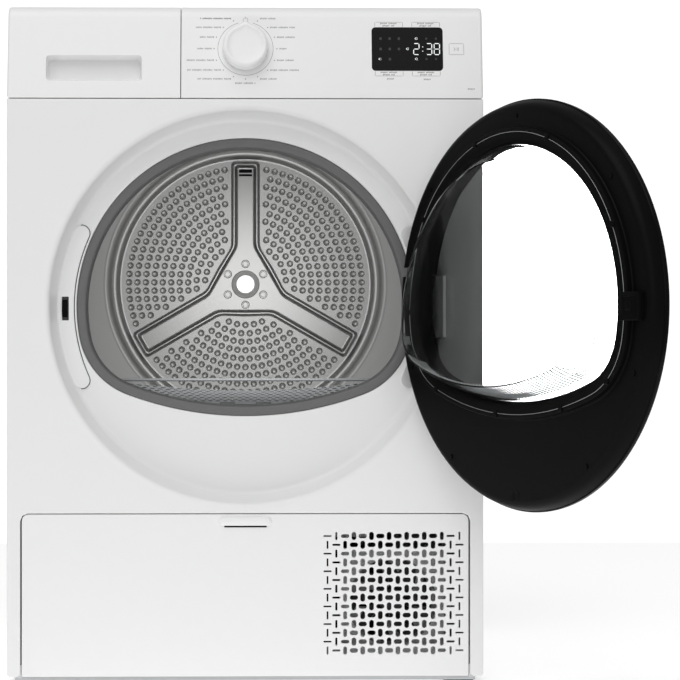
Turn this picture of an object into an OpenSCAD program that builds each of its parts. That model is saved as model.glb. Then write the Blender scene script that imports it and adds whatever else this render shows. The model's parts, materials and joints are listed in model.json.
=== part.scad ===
// Front-loading condenser tumble dryer with a heat pump, door standing open.
// Frame: origin on the floor under the middle of the cabinet, front towards -Y, +Z up.
// "Depth" below always means the distance behind the front panel's face.

/* [Cabinet] */
// Width over the side panels
cabinet_w = 595; // [595:1:720]
// Height of the worktop above the floor
cabinet_h = 850; // [845:1:1020]
// Depth from the front panel to the rear duct cover
cabinet_d = 600; // [598:1:720]
// Thickness of the sheet steel
sheet_t = 1.2; // [0.8:0.1:1.6]
// Height of the front panel's lower edge above the floor
panel_low = 10; // [9:0.5:14]
// Visible joint between neighbouring outer pieces
seam = 0.9; // [0.6:0.1:1.5]
// Thickness of the worktop
worktop_t = 12; // [8:1:20]
// Length that the front panel folds back along the sides
panel_return = 22; // [15:1:40]
// Height of the base tray's rim above its floor
tray_rim = 34; // [20:1:50]

/* [Control panel] */
// Height of the control fascia
fascia_h = 117.5; // [110:0.5:141]
// Backward lean of the fascia, in degrees
fascia_lean = 11; // [8:1:13]
// Wall of the fascia and of the drawer front
fascia_wall = 2.6; // [2:0.1:3.5]
// Radius where the fascia rolls over into the worktop
crown_r = 18; // [12:1:24]
// Radius of the programme knob
knob_r = 28; // [22:0.5:34]
// Height of the programme knob above the fascia
knob_h = 18; // [12:1:24]
// Width of the display window
display_w = 89.5; // [70:0.5:110]
// Height of the display window along the fascia
display_h = 57; // [45:0.5:66]
// Distance of the display's middle from the cabinet's middle
display_x = 203; // [180:1:230]

/* [Water tank] */
// Width of the tank's drawer front
drawer_w = 216; // [200:1:250]
// Width of the tank behind the drawer front
tank_w = 172; // [140:1:180]
// Height of the tank
tank_h = 46; // [36:1:48]
// Length of the tank
tank_len = 470; // [380:5:500]
// Width of the grip recess
grip_w = 120; // [90:1:140]
// Height of the grip recess along the fascia
grip_h = 34; // [26:1:40]

/* [Door] */
// Radius of the door
door_r = 242.4; // [200:0.1:246]
// Height of the door's middle above the floor
door_z = 472; // [465:1:500]
// Depth of the recess that the closed door lies in
dish_d = 38; // [36:1:44]
// Gap between the door's rim and the recess
door_gap = 1.8; // [1:0.1:3]
// Angle by which the door stands open
door_open = 121.7; // [90:0.1:125]
// Radius of the hinge pin
pin_r = 3; // [2.5:0.5:3.5]
// Thickness of the clear bowl and of the tinted pane
glass_t = 3; // [2:0.5:4]

/* [Door opening] */
// Radius of the opening's round top
opening_r = 213; // [180:1:215]
// Distance from the door's middle down to the opening's sill
opening_drop = 137.5; // [115:0.5:150]
// Radius of the long curve along the sill
sill_r = 424; // [380:1:500]
// Radius of the two lower corners
corner_r = 95; // [80:1:110]
// Width of the door seal's face
seal_w = 12; // [8:1:15]

/* [Drum] */
// Outer radius of the drum
drum_r = 287.5; // [262:0.5:290]
// Length of the drum
drum_len = 400; // [330:5:410]
// Height of the drum's axis above the floor
drum_z = 508; // [505:1:515]
// Thickness of the drum's steel
drum_t = 1; // [0.8:0.1:1.5]
// Radius of the drum's shaft
shaft_r = 12.5; // [10:0.5:15]
// Radius of the perforated middle of the rear wall
perforated_r = 182; // [150:1:190]
// Radius of the two support rollers
roller_r = 24; // [18:1:28]

/* [Plinth] */
// Height of the flap
flap_h = 203; // [150:1:244]
// Width of the panel strip left beside the flap
flap_margin = 17.6; // [12:0.1:24]
// Pitch of the grille's slots
grille_pitch = 11; // [10:0.5:12]
// Length of a grille slot
slot_len = 10.4; // [8:0.1:10.8]
// Width of a grille slot
slot_w = 5.6; // [3:0.1:6.5]
// Radius of the levelling feet
foot_r = 20; // [15:1:25]

/* [Fits] */
// Radial clearance of a shaft or pin in its bore
running_fit = 0.06; // [0.02:0.01:0.1]
// Clearance between pieces that move past each other
free_gap = 0.5; // [0.4:0.1:1]

/* [Hidden] */
$fn = 72;

// ---------- Cabinet places ----------
half_w = cabinet_w / 2;
front_y = -cabinet_d / 2;
fascia_low = cabinet_h - fascia_h;
panel_high = fascia_low - seam;
worktop_low = cabinet_h - worktop_t;
crown_deep = (crown_r + (fascia_h - crown_r) * sin(fascia_lean)) / cos(fascia_lean);
fascia_deep = crown_deep + fascia_wall + 1;
tray_low = 9;
tray_floor = tray_low + 4;
tray_front = 20;
tray_inset = 8.5;
side_front = panel_return + seam;
side_flange = 7.5;
duct_deep = 38;
rear_wall = cabinet_d - duct_deep;

// ---------- Door and opening places ----------
hinge_x = door_r - 20.4;
hinge_deep = 2.6;
dish_r = door_r + door_gap;
dish_floor_r = dish_r - 6;
dish_round = 7;
plate_in_r = opening_r + 3.5;
plate_out_r = dish_floor_r - 1.5;
plate_reach = 24;
plate_t = 2.6;
lug_z = 43;
lug_t = 9;
eye_t = 8;
eye_r = pin_r + 2;
ring_back = 12;
cover_back = 29;
plug_back = dish_d - 0.6;
bowl_deep_top = 56;
bowl_deep_low = 84;
latch_x = -(plate_in_r + plate_out_r) / 2 + 0.6;
latch_z = door_z - 2;
hook_t = 3;
latch_slot_w = 10.4;
latch_slot_h = 30;
sill_c = sill_r - opening_drop;
corner_z = (pow(opening_r - corner_r, 2) - pow(sill_r - corner_r, 2) + sill_c * sill_c) / (2 * sill_c);
corner_x = sqrt(pow(opening_r - corner_r, 2) - corner_z * corner_z);
top_angle = atan2(corner_z, corner_x);
sill_angle = atan2(corner_z - sill_c, corner_x);

// ---------- Drum and drive places ----------
bulk_front = 66;
bulk_t = 3;
bulk_back = bulk_front + bulk_t;
felt_in_r = 246;
felt_out_r = 258;
lip_r = 243;
drum_front = 100;
drum_back = drum_front + drum_len;
felt_back = drum_front - free_gap;
felt_front = felt_back - 8;
roller_angle = 35;
roller_w = 14;
roller_orbit = drum_r + roller_r + 0.4;
roller_x = roller_orbit * sin(roller_angle);
roller_z = drum_z - roller_orbit * cos(roller_angle);
roller_front = drum_front + 6;
axle_r = 5;
belt_deep = drum_front + 260;
belt_w = 9;
belt_t = 2;
drive_x = 150;
drive_z = 105;
pulley_r = 9;
rotor_r = 6;
motor_front = belt_deep + 22;
motor_len = 92;
motor_r = 58;
fan_front = rear_wall - 58;
impeller_r = 76;
idler_r = 18;
idler_along = 108;
belt_angle = atan2(drum_z - drive_z, -drive_x) - asin((drum_r - pulley_r) / norm([drive_x, drum_z - drive_z]));
idler_off = pulley_r + 2 * free_gap + belt_t + idler_r;
idler_x = drive_x + idler_off * sin(belt_angle) + idler_along * cos(belt_angle);
idler_z = drive_z - idler_off * cos(belt_angle) + idler_along * sin(belt_angle);

// ---------- Filter and tank places ----------
filter_w = 300;
filter_front = bulk_back + 2;
filter_t = 16;
filter_top = door_z - opening_drop + seal_w + 1.5;
filter_drop = 118;
filter_rise = 32;
filter_reach = 56;
housing_low = 215;
tank_x = -half_w + 12;
tank_z = worktop_low - 10 - tank_h;
drawer_seam = -half_w + drawer_w;

// ---------- Outline helpers ----------
function arc(c, r, from, to, steps) =
    [for (i = [0:steps]) c + r * [cos(from + (to - from) * i / steps), sin(from + (to - from) * i / steps)]];

// Outline of the door opening about the door's middle, grown outwards by "grow".
function dee(grow) = concat(
    arc([0, 0], opening_r + grow, top_angle, 180 - top_angle, 44),
    arc([-corner_x, corner_z], corner_r + grow, 180 - top_angle + 7, 180 - sill_angle, 8),
    arc([0, sill_c], sill_r + grow, 180 - sill_angle + 4, 360 + sill_angle, 10),
    arc([corner_x, corner_z], corner_r + grow, 360 + sill_angle + 7, 360 + top_angle - 4, 8)
);

// Depth of the leaning fascia's face at a height above its lower edge.
function face_deep(up) = up * tan(fascia_lean);

// Outline that a tight loop around two circles takes.
function loop_points(c1, r1, c2, r2) =
    let (aim = atan2(c2[1] - c1[1], c2[0] - c1[0]), open = acos((r1 - r2) / norm(c2 - c1)))
    concat(arc(c1, r1, aim + open, aim + 360 - open, 72), arc(c2, r2, aim - open, aim + open, 24));

// ---------- Placing helpers ----------
// Flat shape in X and Z, made solid from one depth to another.
module slab(from, to) {
    translate([0, front_y + to, 0])
        rotate([90, 0, 0])
            linear_extrude(to - from)
                children();
}

// Ring or disc turned about a front-to-back axis: profile in [radius, depth].
module turned(x, z, profile) {
    translate([x, front_y, z])
        rotate([-90, 0, 0])
            rotate_extrude()
                polygon(profile);
}

// Rod from one depth to another.
module rod(x, z, r, from, to) {
    translate([x, front_y + from, z])
        rotate([-90, 0, 0])
            cylinder(r = r, h = to - from);
}

// Box given by its two corners, with depth in place of Y.
module block(x0, x1, from, to, z0, z1) {
    translate([x0, front_y + from, z0])
        cube([x1 - x0, to - from, z1 - z0]);
}

// Rectangle with rounded corners, its middle at the origin.
module soft_rect(w, h, r) {
    x = w / 2 - r;
    z = h / 2 - r;
    polygon(concat(arc([x, z], r, 0, 90, 6), arc([-x, z], r, 90, 180, 6),
        arc([-x, -z], r, 180, 270, 6), arc([x, -z], r, 270, 360, 6)));
}

// Moves a piece of the closed door to where the door stands open.
module swung() {
    translate([hinge_x, front_y + hinge_deep, 0])
        rotate([0, 0, door_open])
            translate([-hinge_x, -front_y - hinge_deep, 0])
                children();
}

// Frame on the leaning fascia: x across, y up along its face, z out of it.
module on_fascia(x, up) {
    translate([x, front_y + face_deep(up), fascia_low + up])
        rotate([90 - fascia_lean, 0, 0])
            children();
}

// Curved band between two radii about the door's middle, with round ends.
module kidney(side, in_r, out_r, reach) {
    mid_r = (in_r + out_r) / 2;
    half = (out_r - in_r) / 2;
    translate([0, door_z])
        mirror([side < 0 ? 1 : 0, 0]) {
            intersection() {
                difference() {
                    circle(out_r);
                    circle(in_r);
                }
                polygon([[0, 0], 2 * out_r * [cos(reach), -sin(reach)], 2 * out_r * [cos(reach), sin(reach)]]);
            }
            for (s = [-1, 1])
                translate(mid_r * [cos(reach), s * sin(reach)])
                    circle(half, $fn = 32);
        }
}

// ---------- Cabinet ----------
module base_tray() {
    tray_half = half_w - tray_inset;
    color("darkgray")
        difference() {
            union() {
                block(-tray_half, tray_half, tray_front, rear_wall - 2, tray_low, tray_floor + tray_rim);
                block(-tray_half, tray_half, tray_front, tray_front + 4, 3, tray_low + 1);
                for (s = [-1, 1])
                    ear(s);
            }
            block(-tray_half + 4, tray_half - 4, tray_front + 4, rear_wall - 6, tray_floor, 200);
            rod(drive_x, drive_z, impeller_r + 10.5, rear_wall - 10, rear_wall);
            for (sx = [-1, 1])
                for (deep = foot_depths())
                    translate([sx * foot_x(), front_y + deep, 0])
                        cylinder(r = foot_stem_r + running_fit, h = 60);
            for (s = [-1, 1])
                flap_pin(s, running_fit);
        }
    color("darkgray")
        difference() {
            union()
                for (sx = [-1, 1])
                    for (deep = foot_depths())
                        translate([sx * foot_x(), front_y + deep, tray_floor])
                            cylinder(r = foot_stem_r + 5, h = 20);
            for (sx = [-1, 1])
                for (deep = foot_depths())
                    translate([sx * foot_x(), front_y + deep, 0])
                        cylinder(r = foot_stem_r + running_fit, h = 60);
        }
}

foot_stem_r = 5;
function foot_x() = half_w - 28;
function foot_depths() = [tray_front + 24, rear_wall - 44];

// Pivot of the flap at one lower corner.
flap_axis_deep = 8;
flap_axis_z = panel_low + 8;
flap_half = half_w - flap_margin - seam;
module flap_pin(s, grow) {
    translate([s * (flap_half - 1), front_y + flap_axis_deep, flap_axis_z])
        rotate([0, s * 90, 0])
            cylinder(r = 3 + grow, h = 8 + (grow > 0 ? 4 : 0));
}
module ear(s) {
    mirror([s < 0 ? 1 : 0, 0, 0])
        block(flap_half + free_gap, half_w - tray_inset, 3, tray_front + 1, tray_low, flap_axis_z + 7);
}

module side_panel(s) {
    mirror([s < 0 ? 1 : 0, 0, 0])
        color("whitesmoke")
            difference() {
                block(half_w - side_flange, half_w, side_front, rear_wall, panel_low, worktop_low - 0.2);
                block(half_w - 30, half_w - sheet_t, side_front + sheet_t, rear_wall - sheet_t,
                    panel_low - 1, cabinet_h);
                block(half_w - 30, half_w + 1, 0, fascia_deep + seam, panel_high, cabinet_h);
            }
}
module left_side_panel() side_panel(-1);
module right_side_panel() side_panel(1);

module rear_panel() {
    color("silver")
        slab(rear_wall, rear_wall + sheet_t)
            difference() {
                translate([-half_w + 1, panel_low])
                    square([cabinet_w - 2, worktop_low - panel_low - 0.2]);
                translate([0, drum_z])
                    circle(bearing_r);
                for (a = [0:30:330])
                    translate([145 * cos(a), drum_z + 145 * sin(a)])
                        circle(15, $fn = 32);
                translate([drive_x, drive_z])
                    circle(impeller_r - 10);
                translate([spigot_x, spigot_z])
                    circle(collar_r + 0.3);
                translate([gland_x, gland_z])
                    circle(gland_r);
            }
}

duct_r = 190;
duct_leg = 88;
module duct_outline(grow) {
    polygon(loop_points([0, drum_z], duct_r + grow, [drive_x, drive_z], duct_leg + grow));
}
module rear_duct_cover() {
    face = rear_wall + sheet_t;
    color("gainsboro")
        difference() {
            union() {
                slab(face, cabinet_d)
                    duct_outline(0);
                slab(face, face + 2)
                    duct_outline(12);
            }
            slab(face - 1, cabinet_d - 2)
                duct_outline(-2);
        }
}

module top_panel() {
    color("white")
        difference() {
            block(-half_w, half_w, fascia_deep + seam, cabinet_d - 12, worktop_low, cabinet_h);
            block(-half_w + 16, half_w - 16, fascia_deep + 16, cabinet_d - 28, worktop_low - 1,
                cabinet_h - 4);
        }
}

// Turned recess that the closed door lies in, as sheet metal.
module dish() {
    edge = [dish_r + dish_round, dish_round];
    floor_r = opening_drop - 20;
    turned(0, door_z, concat(
        [[dish_r + dish_round + 2, 0]],
        arc(edge, dish_round, 270, 180, 8),
        [[dish_floor_r, dish_d], [floor_r, dish_d], [floor_r, dish_d + sheet_t],
         [dish_floor_r + sheet_t, dish_d + sheet_t], [dish_r + sheet_t, dish_round]],
        arc(edge, dish_round - sheet_t, 180, 270, 8),
        [[dish_r + dish_round + 2, sheet_t]]
    ));
}

module front_panel() {
    corner = 6;
    color("white") {
        slab(0, sheet_t)
            difference() {
                union() {
                    translate([0, (panel_low + panel_high) / 2])
                        soft_rect(cabinet_w, panel_high - panel_low, corner);
                    translate([-half_w, panel_high - 2 * corner])
                        square([cabinet_w, 2 * corner]);
                }
                translate([0, door_z])
                    circle(dish_r + dish_round);
                flap_gap_outline();
            }
        for (s = [-1, 1])
            mirror([s < 0 ? 1 : 0, 0, 0])
                block(half_w - sheet_t, half_w, sheet_t, panel_return, panel_low + corner, panel_high);
        difference() {
            dish();
            slab(dish_d - 2, dish_d + 4)
                translate([0, door_z])
                    polygon(dee(0));
            slab(dish_d - 2, dish_d + 4)
                translate([latch_x, latch_z])
                    square([latch_slot_w, latch_slot_h], center = true);
        }
    }
}
module flap_gap_outline() {
    top = panel_low + flap_h + seam;
    translate([0, top / 2])
        soft_rect(2 * (flap_half + seam), top, 9.5);
    translate([-flap_half - seam, 0])
        square([2 * (flap_half + seam), 60]);
}

// Side profile of the fascia in [depth, height]: a straight lean, then a round crown.
// "inset" draws the hollow's outline; the hollow may run out through the back and the underside.
function fascia_profile(inset, back_in, low_in) = concat(
    [[inset / cos(fascia_lean) + face_deep(low_in), low_in]],
    arc([crown_deep, fascia_h - crown_r], crown_r - inset, 180 - fascia_lean, 90, 8),
    [[fascia_deep - back_in, fascia_h - inset], [fascia_deep - back_in, low_in]]
);
module fascia_body(from_x, to_x, back_in, low_in) {
    translate([from_x, front_y, fascia_low])
        rotate([90, 0, 90])
            difference() {
                linear_extrude(to_x - from_x)
                    polygon(fascia_profile(0, 0, 0));
                translate([0, 0, fascia_wall])
                    linear_extrude(to_x - from_x - 2 * fascia_wall)
                        polygon(fascia_profile(fascia_wall, back_in, low_in));
            }
}

knob_up = 63;
display_up = 63;
spindle_r = 3;
module control_fascia() {
    color("white")
        difference() {
            fascia_body(drawer_seam + seam / 2, half_w, -1, -1);
            on_fascia(0, knob_up)
                translate([0, 0, -12])
                    cylinder(r = spindle_r + 1.5, h = 30);
            on_fascia(display_x, display_up)
                translate([0, 0, -2])
                    linear_extrude(8)
                        soft_rect(display_w, display_h, 5);
        }
}

module display_window() {
    color("black")
        on_fascia(display_x, display_up)
            translate([0, 0, -2])
                linear_extrude(2)
                    soft_rect(display_w, display_h, 5);
}

module control_board() {
    color("darkgreen")
        on_fascia(display_x - 95, knob_up)
            translate([0, 0, -fascia_wall - 14])
                linear_extrude(1.6)
                    square([330, 60], center = true);
    color("dimgray")
        on_fascia(0, knob_up)
            translate([0, 0, -fascia_wall - 12.4])
                difference() {
                    cylinder(r = 9, h = 11);
                    translate([0, 0, 1])
                        cylinder(r = spindle_r + running_fit, h = 12);
                }
}

module program_knob() {
    rim = 2;
    color("white")
        on_fascia(0, knob_up) {
            translate([0, 0, free_gap])
                rotate_extrude()
                    polygon(concat(
                        [[0, 0], [knob_r - 1, 0], [knob_r, 1]],
                        arc([knob_r - rim - 0.5, knob_h - rim - free_gap], rim, 0, 90, 5),
                        [[knob_r * 0.72, knob_h - free_gap], [knob_r * 0.68, knob_h - 2], [0, knob_h - 2.6]]
                    ));
            translate([0, 0, -fascia_wall - 9])
                cylinder(r = spindle_r, h = fascia_wall + 10);
        }
}

// ---------- Latch and hinge on the cabinet ----------
module latch_plate() {
    color("whitesmoke")
        slab(dish_d - plate_t, dish_d)
            difference() {
                kidney(-1, plate_in_r, plate_out_r, plate_reach);
                translate([latch_x, latch_z])
                    square([latch_slot_w, latch_slot_h], center = true);
            }
}

module latch_catch() {
    back = dish_d + sheet_t;
    color("dimgray")
        difference() {
            block(latch_x - 13, latch_x + 7, back, bulk_front - 0.5, latch_z - 26, latch_z + 26);
            block(latch_x - latch_slot_w / 2 - 2, latch_x + latch_slot_w / 2, back - 1, bulk_front - 2.5,
                latch_z - latch_slot_h / 2, latch_z + latch_slot_h / 2);
        }
}

module hinge_bracket() {
    color("lightgray")
        difference() {
            union() {
                slab(dish_d - plate_t, dish_d)
                    kidney(1, plate_in_r, plate_out_r, plate_reach);
                for (s = [-1, 1])
                    translate([0, 0, door_z + s * lug_z - lug_t / 2])
                        linear_extrude(lug_t)
                            lug_outline();
            }
            hinge_bores(pin_r);
            screw_places()
                rod(0, 0, 2.2, dish_d - 10, dish_d + 1);
        }
}
// Swan-neck lug seen from above: from the plate forward to the pin.
module lug_outline() {
    translate([hinge_x, front_y + hinge_deep])
        circle(eye_r);
    polygon([
        [hinge_x - eye_r, front_y + hinge_deep],
        [hinge_x + eye_r - 1, front_y + hinge_deep + 3],
        [hinge_x + 4, front_y + dish_d - plate_t + 0.1],
        [plate_in_r + 2, front_y + dish_d - plate_t + 0.1],
        [hinge_x - eye_r - 1, front_y + hinge_deep + 14]
    ]);
}
module hinge_bores(r) {
    translate([hinge_x, front_y + hinge_deep, door_z - 80])
        cylinder(r = r, h = 160);
}
module screw_places() {
    mid_r = (plate_in_r + plate_out_r) / 2;
    for (s = [-1, 1])
        translate([mid_r * cos(plate_reach - 2), 0, door_z + s * mid_r * sin(plate_reach - 2)])
            children();
}
module hinge_pins() {
    color("silver")
        for (s = [-1, 1])
            translate([hinge_x, front_y + hinge_deep, door_z + s * (lug_z - 4) - 9])
                cylinder(r = pin_r, h = 18);
}
module bracket_screws() {
    color("silver")
        screw_places() {
            rod(0, 0, 4, dish_d - plate_t - 2, dish_d - plate_t);
            rod(0, 0, 2.2, dish_d - plate_t, dish_d);
        }
}

// ---------- Inner structure ----------
module front_bulkhead() {
    color("gainsboro")
        difference() {
            union() {
                slab(bulk_front, bulk_back) {
                    translate([0, drum_z])
                        circle(drum_r - 17);
                    translate([-half_w + 16, housing_low + 4])
                        square([cabinet_w - 32, drum_z - housing_low - 60]);
                }
                turned(0, drum_z, [[felt_in_r, bulk_back - 0.1], [felt_out_r, bulk_back - 0.1],
                    [felt_out_r, felt_front], [felt_in_r, felt_front]]);
            }
            slab(bulk_front - 1, bulk_back + 1)
                translate([0, door_z])
                    polygon(dee(-seal_w + 2));
            block(-filter_w / 2 - 8, filter_w / 2 + 8, bulk_back, drum_front, 0, filter_top + 3);
            for (s = [-1, 1])
                rod(s * roller_x, roller_z, axle_r, bulk_front - 1, bulk_back + 1);
        }
}

module door_seal() {
    color("dimgray")
        difference() {
            union() {
                slab(dish_d, bulk_front)
                    translate([0, door_z])
                        polygon(dee(-0.2));
                slab(dish_d + sheet_t + 0.1, dish_d + 5)
                    translate([0, door_z])
                        polygon(dee(5));
            }
            slab(dish_d - 1, bulk_front + 1)
                translate([0, door_z])
                    polygon(dee(-seal_w));
        }
}

module drum_felt() {
    color("lightgray")
        turned(0, drum_z, [[felt_in_r, felt_front], [felt_out_r, felt_front],
            [felt_out_r, felt_back], [felt_in_r, felt_back]]);
}

module roller_axles() {
    color("silver")
        for (s = [-1, 1]) {
            rod(s * roller_x, roller_z, axle_r, bulk_front, roller_front + roller_w + 3);
            rod(s * roller_x, roller_z, axle_r + 4, bulk_front - 3, bulk_front);
            rod(s * roller_x, roller_z, axle_r + 3, bulk_back, roller_front - free_gap);
        }
}

bearing_r = 24;
module rear_bearing() {
    color("slategray")
        turned(0, drum_z, [[shaft_r + running_fit, rear_wall - 24], [bearing_r, rear_wall - 24],
            [bearing_r, rear_wall - 5], [bearing_r + 14, rear_wall - 5], [bearing_r + 14, rear_wall],
            [bearing_r, rear_wall], [bearing_r, rear_wall + 8], [shaft_r + running_fit, rear_wall + 8]]);
}

module belt_loop(grow) {
    polygon(loop_points([0, drum_z], drum_r + grow, [drive_x, drive_z], pulley_r + grow));
}
module drum_belt() {
    color("black")
        slab(belt_deep - belt_w / 2, belt_deep + belt_w / 2)
            difference() {
                belt_loop(free_gap + belt_t);
                belt_loop(free_gap);
            }
}

module motor() {
    color("dimgray")
        difference() {
            union() {
                rod(drive_x, drive_z, motor_r, motor_front, motor_front + motor_len);
                rod(drive_x, drive_z, motor_r - 24, motor_front - 8, motor_front + motor_len + 6);
                block(drive_x - 46, drive_x + 46, motor_front + 10, motor_front + motor_len - 10,
                    tray_floor, drive_z);
            }
            rod(drive_x, drive_z, rotor_r + running_fit, motor_front - 20, motor_front + motor_len + 20);
        }
}

module motor_pulley() {
    color("silver") {
        rod(drive_x, drive_z, rotor_r, belt_deep - 12, rear_wall - 18);
        difference() {
            rod(drive_x, drive_z, pulley_r, belt_deep - belt_w, belt_deep + belt_w);
            rod(drive_x, drive_z, rotor_r, belt_deep - belt_w - 1, belt_deep + belt_w + 1);
        }
    }
}

module process_fan() {
    back = rear_wall - 14;
    color("white")
        difference() {
            union() {
                rod(drive_x, drive_z, impeller_r, back - 2.5, back);
                rod(drive_x, drive_z, 14, back - 30, back);
                for (i = [0:27])
                    translate([drive_x, front_y + back - 2.5, drive_z])
                        rotate([0, i * 360 / 28, 0])
                            translate([impeller_r - 16, -28, -1])
                                cube([14, 28.1, 2]);
                turned(drive_x, drive_z, [[impeller_r - 16, back - 32], [impeller_r, back - 32],
                    [impeller_r, back - 30], [impeller_r - 16, back - 30]]);
            }
            rod(drive_x, drive_z, rotor_r, back - 40, back + 1);
        }
}

module fan_housing() {
    wall_r = impeller_r + 8;
    color("gray")
        difference() {
            rod(drive_x, drive_z, wall_r + 2, fan_front, rear_wall);
            rod(drive_x, drive_z, wall_r, fan_front + 2, rear_wall + 1);
            rod(drive_x, drive_z, 48, fan_front - 1, fan_front + 5);
        }
}

module idler_arm() {
    color("silver") {
        difference() {
            union() {
                slab(belt_deep + 12, belt_deep + 15) {
                    translate([idler_x, idler_z])
                        circle(10);
                    polygon([[idler_x - 8, idler_z], [idler_x + 8, idler_z],
                        [idler_x + 20, tray_floor], [idler_x - 14, tray_floor]]);
                }
                block(idler_x - 14, idler_x + 20, belt_deep + 12, belt_deep + 40, tray_floor, tray_floor + 3);
            }
            rod(idler_x, idler_z, 4, belt_deep + 10, belt_deep + 20);
        }
        rod(idler_x, idler_z, 4, belt_deep - 9, belt_deep + 16);
    }
}
module idler_pulley() {
    color("white")
        turned(idler_x, idler_z, [[4 + running_fit, belt_deep - 7], [idler_r, belt_deep - 7],
            [idler_r, belt_deep + 7], [4 + running_fit, belt_deep + 7]]);
}

// ---------- Heat pump ----------
box_x0 = -half_w + 22;
box_x1 = -16;
box_top = 178;
box_front = 60;
box_back = 446;
module exchanger_cover() {
    color("gray")
        difference() {
            block(box_x0, box_x1, box_front, box_back, tray_floor, box_top);
            block(box_x0 + 2.5, box_x1 - 2.5, box_front - 1, box_back - 2.5, tray_floor - 1, box_top - 2.5);
            block(-150, box_x1 - 8, bulk_back + 3, felt_front - 4, box_top - 5, box_top + 1);
            rod(box_x1 - 70, 100, 40, box_back - 5, box_back + 5);
        }
}
module finned_block(from, to) {
    low = tray_floor + 8;
    high = box_top - 12;
    for (i = [0:23]) {
        x = box_x0 + 12 + i * (box_x1 - box_x0 - 26) / 23;
        block(x, x + 1.2, from, to, low, high);
    }
    for (z = [low + 12, (low + high) / 2, high - 12])
        block(box_x0 + 10, box_x1 - 10, from + 12, to - 12, z - 3, z + 3);
}
module evaporator() color("silver") finned_block(116, 236);
module condenser() color("peru") finned_block(256, 396);

module compressor() {
    color("black")
        translate([120, front_y + 250, tray_floor]) {
            cylinder(r = 58, h = 8);
            translate([0, 0, 8])
                cylinder(r = 52, h = 118);
            translate([0, 0, 126])
                cylinder(r1 = 52, r2 = 30, h = 20);
        }
}

module condensate_pump() {
    color("dimgray") {
        block(-110, -50, 466, 520, tray_floor, tray_floor + 34);
        translate([-80, front_y + 493, tray_floor + 34])
            cylinder(r = 20, h = 30);
    }
}

fan_x = 186;
fan_z = 98;
module cooling_fan_shroud() {
    color("dimgray")
        difference() {
            union() {
                block(fan_x - 66, fan_x + 66, 44, 76, tray_floor, fan_z + 66);
                rod(fan_x, fan_z, 16, 70, 92);
            }
            rod(fan_x, fan_z, 56, 43, 72);
            for (a = [0:60:300])
                translate([fan_x, front_y + 68, fan_z])
                    rotate([0, a, 0])
                        translate([20, 0, -9])
                            cube([32, 20, 18]);
            rod(fan_x, fan_z, 4 + running_fit, 60, 88);
        }
}
module cooling_fan() {
    color("darkslategray") {
        rod(fan_x, fan_z, 15, 48, 69);
        rod(fan_x, fan_z, 4, 68, 86);
        for (a = [0:40:320])
            translate([fan_x, front_y + 58, fan_z])
                rotate([0, a, 0])
                    translate([14, 0, 0])
                        rotate([38, 0, 0])
                            translate([0, -1, -9])
                                cube([38, 2, 18]);
    }
}

// ---------- Filter ----------
module filter_housing() {
    out = filter_w / 2 + 6;
    back = felt_front;
    color("gray")
        difference() {
            block(-out, out, bulk_back, back, box_top + 0.5, filter_top - 4);
            block(-out + 3, out - 3, bulk_back + 1, back - 2, box_top - 1, filter_top);
        }
}

module filter_frame() {
    out = filter_w / 2;
    low = filter_top - filter_drop;
    slope = atan(filter_rise / filter_reach);
    color("darkgray") {
        difference() {
            block(-out, out, filter_front, filter_front + filter_t, low, filter_top);
            block(-out + 8, out - 8, filter_front + 2, filter_front + filter_t - 2, low + 8, filter_top + 1);
            for (s = [-1, 1])
                mirror([s < 0 ? 1 : 0, 0, 0])
                    block(6, out - 14, filter_front - 1, filter_front + filter_t + 1, low + 14,
                        filter_top - 14);
        }
        translate([0, front_y + filter_front - 0.5, filter_top - 1.6])
            rotate([slope, 0, 0])
                linear_extrude(2.5)
                    polygon([[-out - 4, 0], [out + 4, 0], [out + 27, filter_reach / cos(slope)],
                        [-out - 27, filter_reach / cos(slope)]]);
    }
}

// ---------- Water tank ----------
module tank_front() {
    color("white")
        difference() {
            union() {
                fascia_body(-half_w, drawer_seam - seam / 2, fascia_wall, -1);
                on_fascia(grip_x(), grip_up)
                    translate([0, 0, -24])
                        linear_extrude(24 - fascia_wall / 2)
                            soft_rect(grip_w + 5, grip_h + 5, 7);
            }
            on_fascia(grip_x(), grip_up)
                translate([0, 0, -21.5])
                    linear_extrude(40)
                        soft_rect(grip_w, grip_h, 5);
        }
}
grip_up = 38;
function grip_x() = -half_w + 108;

module tank_body() {
    from = fascia_deep;
    wall = 2;
    color("lightblue")
        difference() {
            block(tank_x, tank_x + tank_w, from, from + tank_len, tank_z, tank_z + tank_h);
            block(tank_x + wall, tank_x + tank_w - wall, from + wall, from + tank_len - wall,
                tank_z + wall, tank_z + tank_h - wall);
            translate([tank_x + 40, front_y + from + tank_len - 30, tank_z + tank_h - 5])
                cylinder(r = 14, h = 10);
        }
}

module tank_guide() {
    from = bulk_back + 20;
    low = tank_z - 2.5;
    color("gray")
        difference() {
            block(tank_x - 6, tank_x + tank_w + 4, from, from + tank_len - 60, low, tank_z + 16);
            block(tank_x - free_gap, tank_x + tank_w + free_gap, from - 1, from + tank_len,
                tank_z - free_gap, tank_z + 60);
        }
}

spigot_x = -180;
spigot_z = 90;
spigot_r = 7;
spigot_reach = 30;
collar_r = spigot_r + 1.2;
module drain_spigot() {
    color("gray")
        difference() {
            union() {
                rod(spigot_x, spigot_z, spigot_r, rear_wall + 3, rear_wall + spigot_reach);
                rod(spigot_x, spigot_z, collar_r, rear_wall - 6, rear_wall + 3);
                rod(spigot_x, spigot_z, collar_r + 6, rear_wall - 3, rear_wall);
            }
            rod(spigot_x, spigot_z, spigot_r - 2, rear_wall - 7, rear_wall + spigot_reach + 1);
        }
}

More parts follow.
